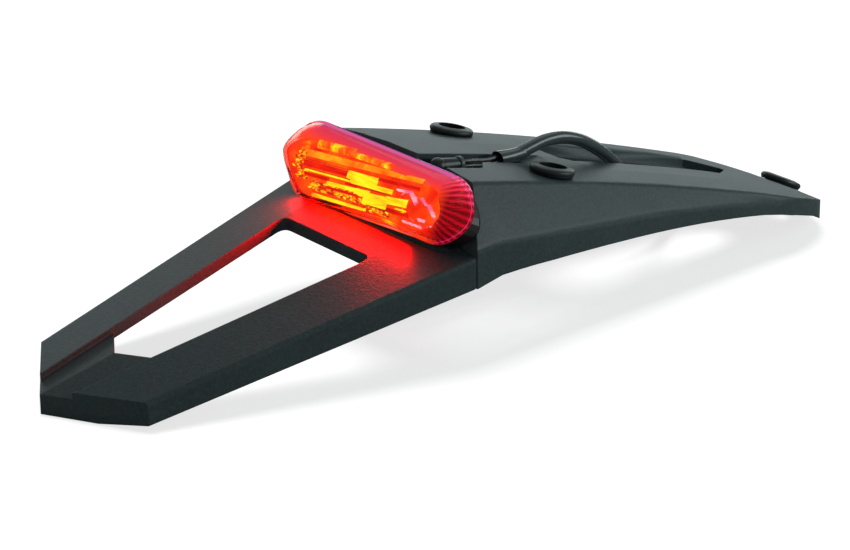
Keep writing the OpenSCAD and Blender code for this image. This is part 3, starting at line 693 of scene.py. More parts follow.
def soften(bm: bmesh.types.BMesh, edges: list[bmesh.types.BMEdge], width: float, segments: int) -> None:
    """Bevels edges.

    Args:
        bm: the mesh.
        edges: which edges.
        width: the bevel's width.
        segments: how many faces it gets.
    """
    bmesh.ops.bevel(bm, geom=edges, offset=width, offset_type="OFFSET", segments=segments, profile=0.5,
                    affect="EDGES", material=-1)


def polyline(name: str, line: Sequence[Vector], radius_mm: float, fineness: int,
             ring: bool) -> bpy.types.Curve:
    """A round bar along a line.

    Args:
        name: the curve's name.
        line: its points in metres.
        radius_mm: its radius.
        fineness: how finely it is rounded.
        ring: whether the end joins the start.

    Returns:
        The curve.
    """
    curve = bpy.data.curves.new(name, "CURVE")
    curve.dimensions, curve.bevel_resolution, curve.use_fill_caps = "3D", fineness, not ring
    curve.bevel_depth = radius_mm * MM
    spline = curve.splines.new("POLY")
    spline.points.add(len(line) - 1)
    for point, at in zip(spline.points, line):
        point.co = (*at, 1)
    spline.use_cyclic_u = ring
    return curve


def spun(profile: Sequence[tuple[float, float]], steps: int) -> bmesh.types.BMesh:
    """A turned shape round the bench's z.

    Args:
        profile: radius and height of each point of its closed section.
        steps: how many steps go round.

    Returns:
        The mesh, in bench units.
    """
    bm = bmesh.new()
    verts = [bm.verts.new((r, 0, z)) for r, z in profile]
    edges = [bm.edges.new(pair) for pair in zip(verts, verts[1:] + verts[:1])]
    bmesh.ops.spin(bm, geom=verts + edges, cent=(0, 0, 0), axis=(0, 0, 1), angle=math.tau, steps=steps,
                   use_merge=True)
    bmesh.ops.remove_doubles(bm, verts=bm.verts, dist=1e-4)
    bmesh.ops.recalc_face_normals(bm, faces=bm.faces)
    return bm


def arc(cx: float, cy: float, r: float, start: float, end: float, steps: int) -> list[tuple[float, float]]:
    """Points on an arc, with angles in degrees."""
    return [(cx + r * math.cos(math.radians(start + (end - start) * i / steps)),
             cy + r * math.sin(math.radians(start + (end - start) * i / steps))) for i in range(steps + 1)]


def smooth_route(points: Sequence[Row], steps: int) -> list[Vector]:
    """A smooth curve through the points of a route.

    Args:
        points: the route, from the rear point in millimetres.
        steps: how many points each stretch gives.

    Returns:
        The curve's points in the same units.
    """
    p = [Vector(q) for q in points]
    out = []
    for i in range(len(p) - 1):
        a, b, c, d = p[max(0, i - 1)], p[i], p[i + 1], p[min(len(p) - 1, i + 2)]
        for k in range(steps):
            t = k / steps
            out.append(0.5 * (2 * b + (c - a) * t + (2 * a - 5 * b + 4 * c - d) * t * t
                              + (3 * b - a - 3 * c + d) * t ** 3))
    return out + [p[-1]]


@dataclass
class Studio:
    """Camera, floor, world and lights."""

    azimuth: float = -36.30669
    elevation: float = 20.27644
    roll: float = -0.45376
    location: Row = (-0.693888, -0.924739, 0.439610)
    lens: float = 122.86
    floor_half: float = 6.0
    floor_gap: float = 0.0004
    shadow_share: float = 0.26

    def camera(self) -> None:
        """Puts the camera at the photograph's place."""
        a, e, r = map(math.radians, (self.azimuth, self.elevation, self.roll))
        back = Vector((math.sin(a) * math.cos(e), -math.cos(a) * math.cos(e), math.sin(e)))
        right = Vector((math.cos(a), math.sin(a), 0))
        up = back.cross(right)
        rolled = (right * math.cos(r) + up * math.sin(r), up * math.cos(r) - right * math.sin(r))
        data = bpy.data.cameras.new("photo_camera")
        data.lens, data.sensor_width = self.lens, 36.0
        data.clip_start, data.clip_end = 0.05, 40.0
        camera = linked("photo_camera", data)
        matrix = Matrix((*rolled, back)).transposed().to_4x4()
        matrix.translation = self.location
        camera.matrix_world = matrix
        bpy.context.scene.camera = camera

    def floor(self) -> bpy.types.Object:
        """A white sheet that keeps a faint shadow."""
        bm = bmesh.new()
        bmesh.ops.create_grid(bm, x_segments=2, y_segments=2, size=self.floor_half)
        mesh = bpy.data.meshes.new("floor_sheet")
        bm.to_mesh(mesh)
        bm.free()
        floor = linked("floor_sheet", mesh)
        floor.location.z = -self.floor_gap
        material = bpy.data.materials.new("paper_white")
        material.use_nodes = True
        tree = Tree(material.node_tree)
        paper = tree.add("ShaderNodeBsdfDiffuse", {"Color": (0.9, 0.9, 0.9, 1)})
        white = tree.add("ShaderNodeEmission", {"Color": (1, 1, 1, 1), "Strength": 1.0})
        felt = tree.add("ShaderNodeBsdfDiffuse", {"Color": (0.10, 0.11, 0.11, 1)})
        sheet = tree.layer(1 - self.shadow_share, paper, white)
        shown = tree.layer(tree.rays("Is Camera Ray", "Is Transmission Ray"), felt, sheet)
        tree.join(shown.outputs[0], tree.add("ShaderNodeOutputMaterial").inputs["Surface"])
        mesh.materials.append(material)
        return floor

    def world(self) -> None:
        """A plain grey-white room that shows as white."""
        world = bpy.data.worlds.new("white_room")
        world.use_nodes = True
        tree = Tree(world.node_tree)
        seen = tree.add("ShaderNodeBackground", {"Color": (1, 1, 1, 1), "Strength": 1.0})
        room = tree.add("ShaderNodeBackground", {"Color": (0.86, 0.98, 1.0, 1), "Strength": 0.2})
        shown = tree.layer(tree.rays("Is Camera Ray", "Is Transmission Ray"), room, seen)
        tree.join(shown.outputs[0], tree.add("ShaderNodeOutputWorld").inputs["Surface"])
        bpy.context.scene.world = world

    def light(self, name: str, at: Row, aim: Row, size: tuple[float, float], power: float,
              colour: Row = (1, 1, 1)) -> bpy.types.Object:
        """A soft rectangular light.

        Args:
            name: the light's name.
            at: where it stands, in metres.
            aim: the point that it faces.
            size: its two sides in metres.
            power: its power in watts.
            colour: its colour.

        Returns:
            The light's object.
        """
        data = bpy.data.lights.new(name, "AREA")
        data.shape, data.size, data.size_y = "RECTANGLE", *size
        data.energy, data.color = power, colour
        light = linked(name, data)
        light.location = at
        light.rotation_mode = "QUATERNION"
        light.rotation_quaternion = (Vector(aim) - Vector(at)).to_track_quat("-Z", "Y")
        return light

    def lights(self, floor: bpy.types.Object) -> None:
        """Soft boxes on the part, and one that only draws its shadow on the floor.

        Args:
            floor: the sheet that takes the shadow.
        """
        self.light("soft_top", (0.5, 0.5, 1.0), (0.05, 0, 0.03), (1.0, 0.8), 1.4, (0.88, 1, 1))
        self.light("soft_horizon", (0.8, 1.05, 0.24), (0.05, 0, 0.05), (1.7, 0.36), 3.2, (0.88, 1, 1))
        self.light("soft_side", (1.05, -1.0, 0.62), (0.05, 0, 0.03), (1.3, 0.7), 8.5, (0.88, 1, 1))
        shade = self.light("floor_shade", (0.0, 0.25, 1.5), (0.05, 0, 0), (1.0, 0.8), 38.0)
        sheet = bpy.data.collections.new("floor_only")
        sheet.objects.link(floor)
        shade.light_linking.receiver_collection = sheet

    def build(self) -> None:
        """Sets up everything but the camera, which comes first."""
        bpy.context.scene.view_settings.view_transform = "Standard"
        floor = self.floor()
        self.world()
        self.lights(floor)


@dataclass
class Lead:
    """The sleeve over the lamp's wires, its mouth, the wires and the plug."""

    route: tuple[Row, ...] = (
        (224.2, -13.5, 65), (231, -13.4, 66.6), (239, -13, 67.9), (248, -12.6, 67.5), (258, -11.8, 64.6),
        (267, -10.6, 59.8), (276, -9, 53.4), (284, -7.6, 46.2), (292, -6, 38), (301, -3.4, 29),
        (311, 0.6, 20), (321, 6, 11.8), (331, 12, 5.4), (341, 17, 3), (350, 21, 3), (358, 26, 3),
        (363, 33, 3), (361, 41, 3), (354, 46, 3), (345, 47, 3), (335, 46.6, 3), (325, 46, 3),
        (315, 45.4, 3), (306, 45, 3))
    sleeve_mm: float = 5.6
    mouth: Row = (221, -13.5, 64.8)
    mouth_lean: float = 86.0
    plug_turn: float = 183.0
    plug_size: Row = (26, 12, 9)

    def sleeve(self, riders: Sequence[bpy.types.Object]) -> bpy.types.Object:
        """The sleeve as one curve along the lead's route.

        Args:
            riders: the pieces on the lead; not used.

        Returns:
            The curve's object.
        """
        line = [place(p) for p in smooth_route(self.route, 5)]
        curve = polyline("lead_sleeve_line", line, self.sleeve_mm / 2, 7, False)
        curve.materials.append(Finishes.SLEEVE.material())
        piece = linked("lead_sleeve_line", curve)
        Piece("lead_sleeve_line", Finishes.SLEEVE, "sleeve", ("lead_sleeve",)).seat(piece)
        return piece

    def collar(self) -> bpy.types.Object:
        """The sleeve's flared and flattened mouth, open towards the lamp."""
        lean = math.radians(self.mouth_lean)
        ahead = Vector((math.sin(lean), 0, math.cos(lean)))
        bm = spun([(2.84, 6.5), (2.95, 3), (3.1, -1), (3.4, -6.8), (3.35, -7.2), (3.0, -6.8), (2.45, -1),
                   (2.45, 3)], 40)
        thinner, wider, droop = 0.12, 0.16, 0.13
        for vert in bm.verts:
            flat = share(-vert.co.z, -5, 9)
            vert.co.x *= 1 - thinner * flat
            vert.co.y *= 1 + wider * flat
            vert.co.x += droop * min(0.0, vert.co.z - 1)
        matrix = turned(place(self.mouth), Vector((0, 0, 1)).cross(ahead).cross(ahead), Vector((0, 1, 0)))
        return Piece("sleeve_collar", Finishes.SLEEVE, "rubber", ("sleeve_mouth",)).make(bm, matrix)

    def at_plug(self) -> Matrix:
        """Bench of the plug: x along it, away from the sleeve."""
        end = self.route[-1]
        turn = math.radians(self.plug_turn)
        return turned(place((end[0], end[1], 0)), Vector((math.cos(turn), math.sin(turn), 0)),
                      Vector((-math.sin(turn), math.cos(turn), 0)))

    def plug(self) -> list[bpy.types.Object]:
        """The plug's housing with its grips and latch, the terminals and the seal."""
        long, wide, high = self.plug_size
        bm = bmesh.new()

        def block(low: Row, high_corner: Row) -> list[bmesh.types.BMVert]:
            """A box between two corners."""
            made = bmesh.ops.create_cube(bm, size=1)["verts"]
            bmesh.ops.scale(bm, vec=[b - a for a, b in zip(low, high_corner)], verts=made)
            bmesh.ops.translate(bm, vec=[(a + b) / 2 for a, b in zip(low, high_corner)], verts=made)
            return made

        def edges_of(verts: list[bmesh.types.BMVert]) -> list[bmesh.types.BMEdge]:
            """Every edge that meets one of the corners."""
            return list({e for v in verts for e in v.link_edges})

        block((3, -wide / 2, 0.1), (3 + long, wide / 2, 0.1 + high))
        front = [f for f in bm.faces if f.calc_center_median().x > 2.9 + long]
        bmesh.ops.inset_region(bm, faces=front, thickness=1.3, use_even_offset=True)
        bmesh.ops.translate(bm, vec=(-0.55 * long, 0, 0), verts=list({v for f in front for v in f.verts}))
        soften(bm, [e for e in bm.edges if e.is_manifold and e.calc_face_angle() > 1], 0.45, 2)
        for i in range(5):
            x = 5 + i * 1.8
            for side in (-1, 1):
                y = side * (wide / 2 - 0.25)
                soften(bm, edges_of(block((x, y - 0.3, 2), (x + 0.8, y + 0.3, high - 2))), 0.15, 1)
        latch = block((7, -wide / 6, high - 0.2), (7 + long * 0.4, wide / 6, 1.6 + high))
        soften(bm, edges_of(latch), 0.4, 2)
        housing = Piece("plug_housing", Finishes.PLUG, "plug", ("lead_plug",)).make(bm, self.at_plug())
        seal = spun([(0.9, 0), (2.5, 0), (2.8, 0.35), (2.5, 0.8), (2.5, 1.1), (2.8, 1.5), (2.5, 1.9),
                     (2.5, 3), (0.9, 3)], 32)
        bmesh.ops.rotate(seal, cent=(0, 0, 0), matrix=Matrix.Rotation(math.pi / 2, 3, "Y"), verts=seal.verts)
        bmesh.ops.translate(seal, vec=(0, 0, 3), verts=seal.verts)
        ring = Piece("wire_seal", Finishes.SEAL, "seal", ("plug_seal",)).make(seal, self.at_plug())
        return [housing, dress("plug_terminals", Finishes.TERMINAL), ring]

    def build(self) -> None:
        """Builds the lead and what is on it."""
        self.sleeve(self.plug())
        self.collar()
        for use, finish in (("tail", Finishes.WIRE_TAIL), ("stop", Finishes.WIRE_STOP),
                            ("earth", Finishes.WIRE_EARTH)):
            dress("lead_wire_" + use, finish)


@dataclass
class Boot:
    """The rubber elbow behind the lamp, with a paler ring on its end."""

    ring_at: Row = (190.6, -16, 67.8)
    lean_deg: float = 96.0

    def build(self) -> None:
        """Dresses the elbow and adds its ring."""
        dress("lamp_boot", Finishes.BOOT)
        lean = math.radians(self.lean_deg)
        ahead = Vector((math.sin(lean), 0, math.cos(lean)))
        ring = spun([(2.9, 0), (3.3, 0.1), (3.45, 0.4), (3.45, 1.6), (3.3, 1.9), (2.9, 2.0)], 40)
        Piece("boot_ring", Finishes.RING, "rubber").make(
            ring, turned(place(self.ring_at), Vector((0, 1, 0)), ahead.cross(Vector((0, 1, 0)))))


@dataclass
class Moulding:
    """The one black moulding, with softened edges and a grained skin."""

    merge_mm: float = 0.004
    flat_deg: float = 0.5
    sharp_deg: float = 26.0

    def build(self) -> bpy.types.Object:
        """Copies the CAD's skin, joins its loose triangles and shades it."""
        bm = bmesh.new()
        bm.from_mesh(frame["nodes"]["fender_body"].data)
        bmesh.ops.remove_doubles(bm, verts=bm.verts, dist=self.merge_mm * MM)
        bmesh.ops.dissolve_limit(bm, angle_limit=math.radians(self.flat_deg), verts=bm.verts,
                                 edges=bm.edges, delimit={"NORMAL"})
        piece = Piece("moulding_skin", Finishes.MOULDING, "moulding", ("fender_body",),
                      self.sharp_deg).make(bm)
        weighted = piece.modifiers.new("even_shading", "WEIGHTED_NORMAL")
        weighted.keep_sharp = True
        return piece


@dataclass
class Grommets:
    """Three rubber grommets, turned from one profile and placed by the part's mounts."""

    to_skin_mm: float = 2.3
    steps: int = 72
    bore_edge_mm: float = 5.95
    profile: list[tuple[float, float]] = field(default_factory=lambda: [
        (5.5, -6.6), (5.9, -7.0), *arc(8.7, -6.2, 0.8, -90, 0, 4), (9.5, -4.7), (9.2, -4.45),
        (6.94, -4.45), (6.94, 0.05), (9.1, 0.05),
        *arc(8.2, 1.7, 1.4, -42, 84, 9), *arc(6.3, 3.0, 0.5, 74, 170, 5), (5.7, 2.4), (5.5, 1.8)])

    def build(self) -> list[bpy.types.Object]:
        """Turns and seats the three grommets."""
        made = []
        for mount in frame["record"]["mounts"]:
            if not mount["name"].startswith("grommet_bore"):
                continue
            up = Vector(mount["axis"]).normalized()
            ahead = Vector((0, 1, 0)).cross(up)
            skin = Vector(mount["pos_m"]) + up * self.to_skin_mm * MM
            name = mount["name"].replace("grommet_bore", "grommet")
            bm = spun(self.profile, self.steps)
            # Faces within the bore take the second material, the painted shade of the hole.
            for face in bm.faces:
                face.material_index = int(max(v.co.xy.length for v in face.verts) < self.bore_edge_mm)
            piece = Piece(name + "_turned", Finishes.RUBBER, "rubber", (name,), 40).make(
                bm, turned(skin, ahead, Vector((0, 1, 0))))
            piece.data.materials.append(Finishes.PAINTED_HOLE_SHADE.material())
            made.append(piece)
        return made


@dataclass
class TailLamp:
    """The lamp on the block's rear face.

    The bench lies on that face: x runs to the near side, y up the face and z outwards, in
    millimetres.
    """

    foot: Row = (162, 0, 46.863)
    lean_deg: float = 27.7
    half: float = 64.0
    low: float = -3.4
    high: float = 28.2
    flange_z: float = 6.8
    low_corner_in: float = 11.0
    top_corner_in: float = 8.5
    end_out: float = 2.6
    end_share: float = 0.49
    corner_reach: Row = (10, 11.5, 12)
    wall: float = 1.5
    flute_mm: float = 0.3
    rings: tuple[tuple[float, float, float, float], ...] = (
        (8.6, 1.0, 0.6, 0.8), (9.6, 1.2, 0.6, 1.2), (11.2, 1.8, 0.7, 2.3), (12.7, 2.9, 0.8, 3.8),
        (14.0, 4.5, 1.0, 5.4), (15.0, 6.3, 1.2, 6.8), (15.7, 7.6, 1.5, 7.6), (16.1, 8.6, 1.9, 8.1),
        (16.2, 9.6, 2.6, 8.7))
    rise_near: float = 2.0
    drop_far: float = 2.5
    far_cut: float = 9.5
    glows: tuple[tuple[str, float, float], ...] = (
        ("glow_far", -28, 0.06), ("glow_mid", 0, 0.18), ("glow_near", 22, 0.05))

    def bench(self) -> Matrix:
        """Takes the lamp's bench to its place."""
        lean = math.radians(self.lean_deg)
        return turned(place(self.foot), Vector((0, -1, 0)), Vector((math.sin(lean), 0, math.cos(lean))))

    def outline(self, ends: float, low: float, high: float, steps: int = 10) -> list[tuple[float, float]]:
        """The lamp's six-sided outline with round corners.

        Args:
            ends: how far the ends move in.
            low: how far the bottom moves up.
            high: how far the top moves down.
            steps: points on each round corner.

        Returns:
            The points in order, counterclockwise.
        """
        h, lo, hi = self.half - ends, self.low + low, self.high - high
        a, c = (h - self.low_corner_in, lo), (h - self.top_corner_in, hi)
        b = (h + self.end_out, lo + self.end_share * (hi - lo))

        def soft(p: tuple, q: tuple, r: tuple, reach: float) -> list[tuple[float, float]]:
            """A corner as a short curve."""
            p, q, r = Vector(p), Vector(q), Vector(r)
            near = q + (p - q).normalized() * min(reach, 0.46 * (p - q).length)
            far = q + (r - q).normalized() * min(reach, 0.46 * (r - q).length)
            return [tuple((1 - t) ** 2 * near + 2 * t * (1 - t) * q + t * t * far)
                    for t in (i / steps for i in range(steps + 1))]

        stops = ((0, lo), a, b, c, (0, hi))
        right = [at for three in zip(stops, stops[1:], stops[2:], self.corner_reach) for at in soft(*three)]
        return right + [(-x, y) for x, y in reversed(right)]

    def fluted(self, points: list[tuple[float, float]], pitch: float = 0.62) -> list[tuple[float, float]]:
        """The outline again, with evenly close points round both ends."""
        out = []
        for (x0, y0), (x1, y1) in zip(points, points[1:] + points[:1]):
            step = pitch if min(abs(x0), abs(x1)) > 30 else 6
            cuts = max(1, round(math.hypot(x1 - x0, y1 - y0) / step))
            out += [(x0 + (x1 - x0) * i / cuts, y0 + (y1 - y0) * i / cuts) for i in range(cuts)]
        return out

    def lens(self) -> bpy.types.Object:
        """The red lens: a lapped flange, fluted ends and a smooth rounded face."""
        bm = bmesh.new()
        base = self.fluted(self.outline(0, 0, 0))

        def ring(z: float, ends: float, low: float, high: float, flute: float) -> list[bmesh.types.BMVert]:
            """One ring of the lens, with the flutes cut by a share of their depth."""
            verts = []
            for i, (x, y) in enumerate(self.fluted_like(base, ends, low, high)):
                cut = self.flute_mm * flute * (share(abs(x), 36, 6) if i % 2 else 0.0)
                middle = Vector((math.copysign(30, x), 0.5 * (self.low + self.high)))
                inward = (middle - Vector((x, y))).normalized() * cut
                verts.append(bm.verts.new((x + inward.x, y + inward.y, z)))
            return verts

        levels = [ring(self.flange_z, 0.2, 0.2, 0.2, 0), ring(self.flange_z + 0.3, 0, 0, 0, 0),
                  ring(8.1, 0, 0, 0, 0), ring(8.4, 0.25, 0.2, 0.25, 0), ring(8.45, 0.85, 0.45, 0.6, 0)]
        depths = (0, 0.8, 1, 1, 1, 1, 0.7, 0.3, 0)
        levels += [ring(*row, deep) for row, deep in zip(self.rings, depths)]
        bridge(bm, levels)
        cap = bm.faces.new(levels[-1])
        bmesh.ops.inset_region(bm, faces=[cap], thickness=3.0, depth=0.12, use_even_offset=True)
        bmesh.ops.triangulate(bm, faces=[f for f in bm.faces if len(f.verts) > 4])
        map_face(bm)
        bmesh.ops.recalc_face_normals(bm, faces=bm.faces)
        if sum(f.normal.z * f.calc_area() for f in bm.faces) < 0:
            bmesh.ops.reverse_faces(bm, faces=bm.faces)
        piece = Piece("lens_fluted", Finishes.LENS, "lens", ("lamp_lens",), 38).make(bm, self.bench())
        wall = piece.modifiers.new("lens_wall", "SOLIDIFY")
        wall.thickness, wall.offset = self.wall * MM, -1
        return piece

    def fluted_like(self, base: list[tuple[float, float]], ends: float, low: float,
                    high: float) -> list[tuple[float, float]]:
        """The outline's points moved in by the three insets, each by its share.

        Args:
            base: the full outline.
            ends: how far the ends move in.
            low: how far the bottom moves up.
            high: how far the top moves down.

        Returns:
            The points of the smaller outline, in the same order.
        """
        centre = self.low + 0.45 * (self.high - self.low)
        out = []
        for x, y in base:
            x1 = x * (self.half - ends) / self.half
            up = self.high - centre if y > centre else centre - self.low
            move = high if y > centre else low
            y1 = centre + (y - centre) * (up - move) / up
            out.append(self.warped(x1, y1))
        return out

    @staticmethod
    def beam(bm: bmesh.types.BMesh, start: tuple[float, float], end: tuple[float, float], width: float,
             levels: tuple[float, float] = (12.0, 13.4), taper: float = 0.25, slant: float = 0.0) -> None:
        """Adds a bar with chamfered sides between two points of the face.

        Args:
            bm: the mesh that it joins.
            start: the middle of its far end.
            end: the middle of its near end.
            width: its width.
            levels: its back and front.
            taper: how much narrower the front is on each side.
            slant: how far its upper side leans along it.
        """
        a, b = Vector(start), Vector(end)
        made = bmesh.ops.create_cube(bm, size=1)["verts"]
        bmesh.ops.scale(bm, vec=((b - a).length, width, levels[1] - levels[0]), verts=made)
        for vert in made:
            lean = math.copysign(slant, vert.co.y)
            if vert.co.z > 0:
                vert.co.x -= math.copysign(min(taper, abs(vert.co.x) * 0.5), vert.co.x)
                vert.co.y -= math.copysign(min(taper, width * 0.35), vert.co.y)
            vert.co.x += lean
        turn = Matrix.Rotation(math.atan2(b.y - a.y, b.x - a.x), 3, "Z")
        bmesh.ops.rotate(bm, cent=(0, 0, 0), matrix=turn, verts=made)
        bmesh.ops.translate(bm, vec=(*((a + b) / 2), (levels[0] + levels[1]) / 2), verts=made)

    def optic(self, name: str, finish: Finish, beams: Sequence[tuple]) -> bpy.types.Object:
        """A group of bars on the optic plate as one piece.

        Args:
            name: the piece's name.
            finish: how it is lit.
            beams: what each bar is made from, as beam() takes it.

        Returns:
            The object.
        """
        bm = bmesh.new()
        for values in beams:
            self.beam(bm, *values)
        return self.inside(bm, name, finish)

    def inside(self, bm: bmesh.types.BMesh, name: str, finish: Finish, slot: str = "prism",
               replaces: tuple[str, ...] = (), sharp_deg: float = 20) -> bpy.types.Object:
        """Seats a lit optic. It is seen, but the light on the moulding comes from the lamp's own glow.

        Args:
            bm: the optic on the bench.
            name: the piece's name.
            finish: how it is lit.
            slot: its slot; not used.
            replaces: the nodes that it stands for.
            sharp_deg: from which angle an edge is sharp.

        Returns:
            The object.
        """
        map_face(bm)
        piece = Piece(name, finish, slot, replaces, sharp_deg).make(bm, self.bench())
        piece.visible_diffuse = False
        piece.visible_shadow = False
        return piece

    @staticmethod
    def grid(start: tuple[float, float], step: tuple[float, float], columns: int, rows: int,
             size: tuple[float, float], rise: float = 0.085) -> list[tuple]:
        """A field of small diamonds in staggered rows.

        Args:
            start: the first diamond.
            step: distance between columns and rows.
            columns: how many stand in a row.
            rows: how many rows there are.
            size: length and width of each.
            rise: how much a row climbs per unit along it.

        Returns:
            What each is made from, as beam() takes it.
        """
        out = []
        for j in range(rows):
            for i in range(columns):
                x = start[0] + step[0] * (i + 0.5 * (j % 2))
                y = start[1] + step[1] * j + rise * (x - start[0])
                half = size[0] / 2
                out.append(((x - half, y), (x + half, y + 2 * rise * half), size[1], (12.0, 13.1), 0.5))
        return out

    def optics(self) -> None:
        """The lit inside: a bed, clouds, hatch ribs, dark and bright bars and a diamond field."""
        bm = bmesh.new()
        line = [self.warped(x, y) for x, y in self.outline(7.2, 2.6, 8.2)]
        loop = [bm.verts.new((self.short_of_flutes(x), y, 11.6)) for x, y in line]
        face = bm.faces.new(loop)
        if face.normal.z < 0:
            face.normal_flip()
        bmesh.ops.inset_region(bm, faces=[face], thickness=1.2, depth=0.5, use_even_offset=True)
        self.inside(bm, "optic_bed", Finishes.BED, replaces=("lamp_prism",))
        ribs = []
        for i in range(56):
            x = -45.5 + i * 1.42
            y, tall = 12.9 + 0.094 * (x + 47), 3.0 - 0.012 * (x + 45)
            ribs.append(((x, y), (x + 0.62, y + 0.06), tall, (12.0, 13.2), 0.12, 0.9))
        self.optic("hatch_ribs", Finishes.HATCH, ribs)
        self.optic("clouds", Finishes.CLOUD, [
            ((-40, 18.2), (-14, 20.6), 3.6, (11.8, 12.6), 0.8),
            ((-16, 19.6), (12, 21.4), 2.4, (11.8, 12.6), 0.8),
            ((-50, 15), (-45, 16.6), 3.4, (11.6, 12.4), 0.8)])
        self.optic("bars_dark", Finishes.DARK_BAR, [
            ((-43, 8.9), (-11.8, 11.6), 2.6), ((-40, 4.9), (-24, 6.3), 1.9), ((-23, 3.0), (-1, 5.0), 1.5),
            ((-12, 7.6), (-5, 8.2), 1.6), ((19, 4.6), (33, 6.0), 2.2), ((7.5, 14.6), (33, 17.0), 1.8)])
        self.optic("lines_dark", Finishes.LINE, [(*line, (12.0, 13.5), 0.1) for line in (
            ((-41, 7.1), (-11, 9.6), 0.34), ((-43, 10.6), (-14, 13.2), 0.3), ((-3, 8.6), (17, 10.4), 0.4),
            ((-30, -0.7), (5, 1.9), 0.3), ((6, 3.1), (20, 4.3), 0.4))])
        self.optic("bars_bright", Finishes.BRIGHT_BAR, [
            ((-40.5, 6.5), (-11, 9.1), 0.7), ((-23.5, 4.9), (-4.5, 6.7), 1.5), ((-30, -2.1), (5.2, 0.6), 1.7),
            ((-12.6, 11.6), (6.5, 13.1), 3.4), ((-9.4, 9.6), (17.6, 11.8), 1.9), ((-4.5, 6.2), (4, 7.2), 3.0),
            ((2.5, 5.2), (17, 6.9), 5.0), ((16.5, 8.2), (30, 10.0), 3.0), ((24, 6.0), (31, 6.7), 1.6)])
        self.optic("diamond_field", Finishes.DIAMOND, [
            *self.grid((-34, 0.0), (2.2, 1.35), 17, 3, (1.8, 1.2)),
            *self.grid((-49.5, 6.5), (2.2, 1.9), 3, 4, (1.9, 1.6)),
            *self.grid((-45, 2.6), (2.2, 1.5), 4, 3, (1.9, 1.3)),
            *self.grid((5, 1.0), (2.2, 1.3), 8, 2, (1.8, 1.1))])

    @staticmethod
    def short_of_flutes(x: float) -> float:
        """Keeps the lit optics back from the lens's dark near end."""
        return x - 7.5 * share(x, 34, 20)

    def warped(self, x: float, y: float) -> tuple[float, float]:
        """A point of the lamp's outline, moved to where the lens's lower edge runs.

        The lens's lower edge drops towards the far end, where its lower corner is cut back more.

        Args:
            x: along the face, to the near side.
            y: up the face.

        Returns:
            The moved point.
        """
        depth = share(-y, -self.high, self.high - self.low)
        drop = self.rise_near - (self.rise_near + self.drop_far) * share(-x, -20, 50)
        pull = self.far_cut * share(-x, 34, 20) * max(0.0, 1 - (y - self.low) / 15)
        return x + pull, y + depth * drop

    def bowl(self) -> None:
        """The lit band behind the lens's sloping walls, and the bright rim behind its flange."""
        bm = bmesh.new()
        rows = ((7.1, 0.4, 0.4, 0.4), (8.3, 2.6, 2.1, 2.6), (9.6, 3.6, 2.3, 3.7), (10.8, 5.2, 2.5, 6.0),
                (11.1, 8.6, 3.4, 9.4))
        base = self.outline(0, 0, 0, 12)
        rings = [[bm.verts.new((self.short_of_flutes(x) if z > 10 else x, y, z))
                  for x, y in self.fluted_like(base, *insets)] for z, *insets in rows]
        bridge(bm, rings)
        self.inside(bm, "bowl_band", Finishes.BOWL, "reflector", ("lamp_reflector",), 60)
        matrix = self.bench()
        line = [matrix @ Vector((x, y, 7.3)) for x, y in self.fluted_like(base, 1.4, 1.2, 1.2)]
        holder = linked("rim_line", polyline("rim_line", line, 0.35, 2, True))
        mesh = bpy.data.meshes.new_from_object(holder.evaluated_get(bpy.context.evaluated_depsgraph_get()))
        bpy.data.objects.remove(holder)
        bm = bmesh.new()
        bm.from_mesh(mesh)
        bm.transform(matrix.inverted())
        for layer in list(bm.loops.layers.uv):
            bm.loops.layers.uv.remove(layer)
        self.inside(bm, "rim_light_pipe", Finishes.RIM, "reflector", sharp_deg=60)

    def crystal(self) -> None:
        """The clear faceted bubble near the near end, with painted pale glints on some facets: glowing bars
        that stand in for its reflections.
        """
        bm = bmesh.new()
        bmesh.ops.create_icosphere(bm, subdivisions=2, radius=1.0)
        bmesh.ops.scale(bm, vec=(13.5, 4.6, 2.2), verts=bm.verts)
        turn = Matrix.Rotation(math.radians(-12), 3, "Z")
        bmesh.ops.rotate(bm, cent=(0, 0, 0), matrix=turn, verts=bm.verts)
        bmesh.ops.translate(bm, vec=(36, 9.2, 12.2), verts=bm.verts)
        self.inside(bm, "crystal_bubble", Finishes.CRYSTAL, sharp_deg=5)
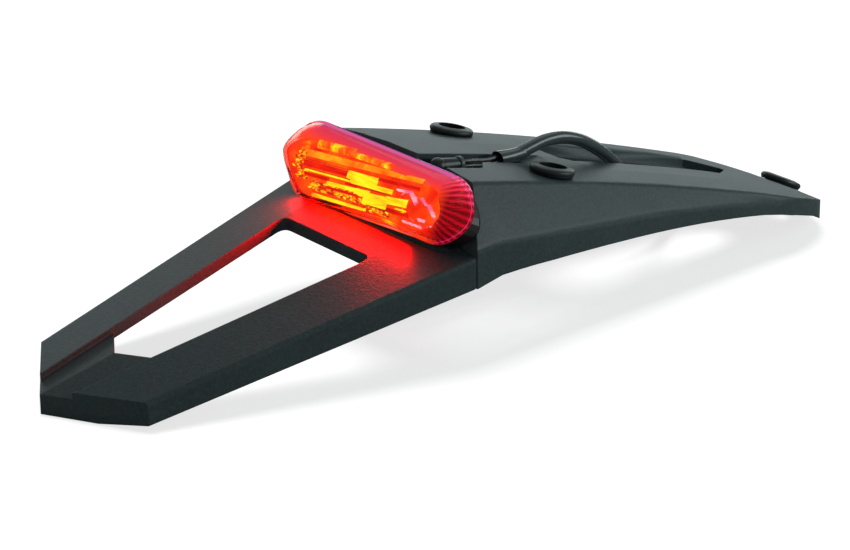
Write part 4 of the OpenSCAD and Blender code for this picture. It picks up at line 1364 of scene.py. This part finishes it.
        # Painted highlights: glowing bars in place of the facets' reflections.
        self.optic("bubble_painted_highlights", Finishes.PAINTED_HIGHLIGHT, [
            (start, end, width, (11.2, front), taper) for start, end, width, front, taper in (
                ((20, 13.6), (29, 14.8), 1.2, 13.2, 0.5), ((29, 14.4), (35, 11.0), 1.7, 13.2, 0.6),
                ((36, 14.2), (41, 12.0), 0.9, 13.0, 0.3), ((41.5, 12.8), (47.5, 9.2), 1.5, 13.0, 0.5),
                ((39.5, 6.2), (43.5, 6.4), 1.3, 13.6, 0.4), ((30, 3.2), (42, 3.4), 1.1, 12.8, 0.4))])

    def glow(self, studio: Studio, lit: Sequence[bpy.types.Object]) -> None:
        """The red light that the lamp throws on the part, and on nothing else.

        Args:
            studio: makes the lights.
            lit: the pieces that it reaches.
        """
        matrix = self.bench()
        at, aim = matrix @ Vector((0, -3.6, 14.0)), matrix @ Vector((0, -40, 22.0))
        reach = bpy.data.collections.new("lit_by_the_lamp")
        for piece in lit:
            reach.objects.link(piece)
        for name, x, power in self.glows:
            shift = matrix @ Vector((x, 0, 0)) - matrix @ Vector((0, 0, 0))
            light = studio.light(name, tuple(at + shift), tuple(aim + shift), (0.032, 0.005), power,
                                 (1.0, 0.0, 0.0))
            light.visible_camera = False
            light.visible_transmission = False
            light.light_linking.receiver_collection = reach

    def build(self, studio: Studio, lit: Sequence[bpy.types.Object]) -> None:
        """Builds the lamp and its light.

        Args:
            studio: makes the lights.
            lit: the pieces that the lamp's glow reaches.
        """
        for node, finish in (("lamp_gasket", Finishes.FOAM), ("lamp_tray", Finishes.TRAY),
                             ("led_board", Finishes.BOARD), ("board_resistors", Finishes.RESISTOR),
                             ("led_chips", Finishes.CHIP), ("lamp_screws", Finishes.SCREW)):
            dress(node, finish)
        self.lens()
        self.optics()
        self.bowl()
        self.crystal()
        self.glow(studio, lit)


def main() -> None:
    """Builds the scene in order."""
    logging.basicConfig(level=logging.INFO, format="%(name)s %(message)s")
    studio = Studio()
    studio.camera()
    Lead().build()
    Boot().build()
    lit = [Moulding().build(), *Grommets().build()]
    TailLamp().build(studio, lit)
    studio.build()
    log.info("size written")


if __name__ == "__main__":
    main()
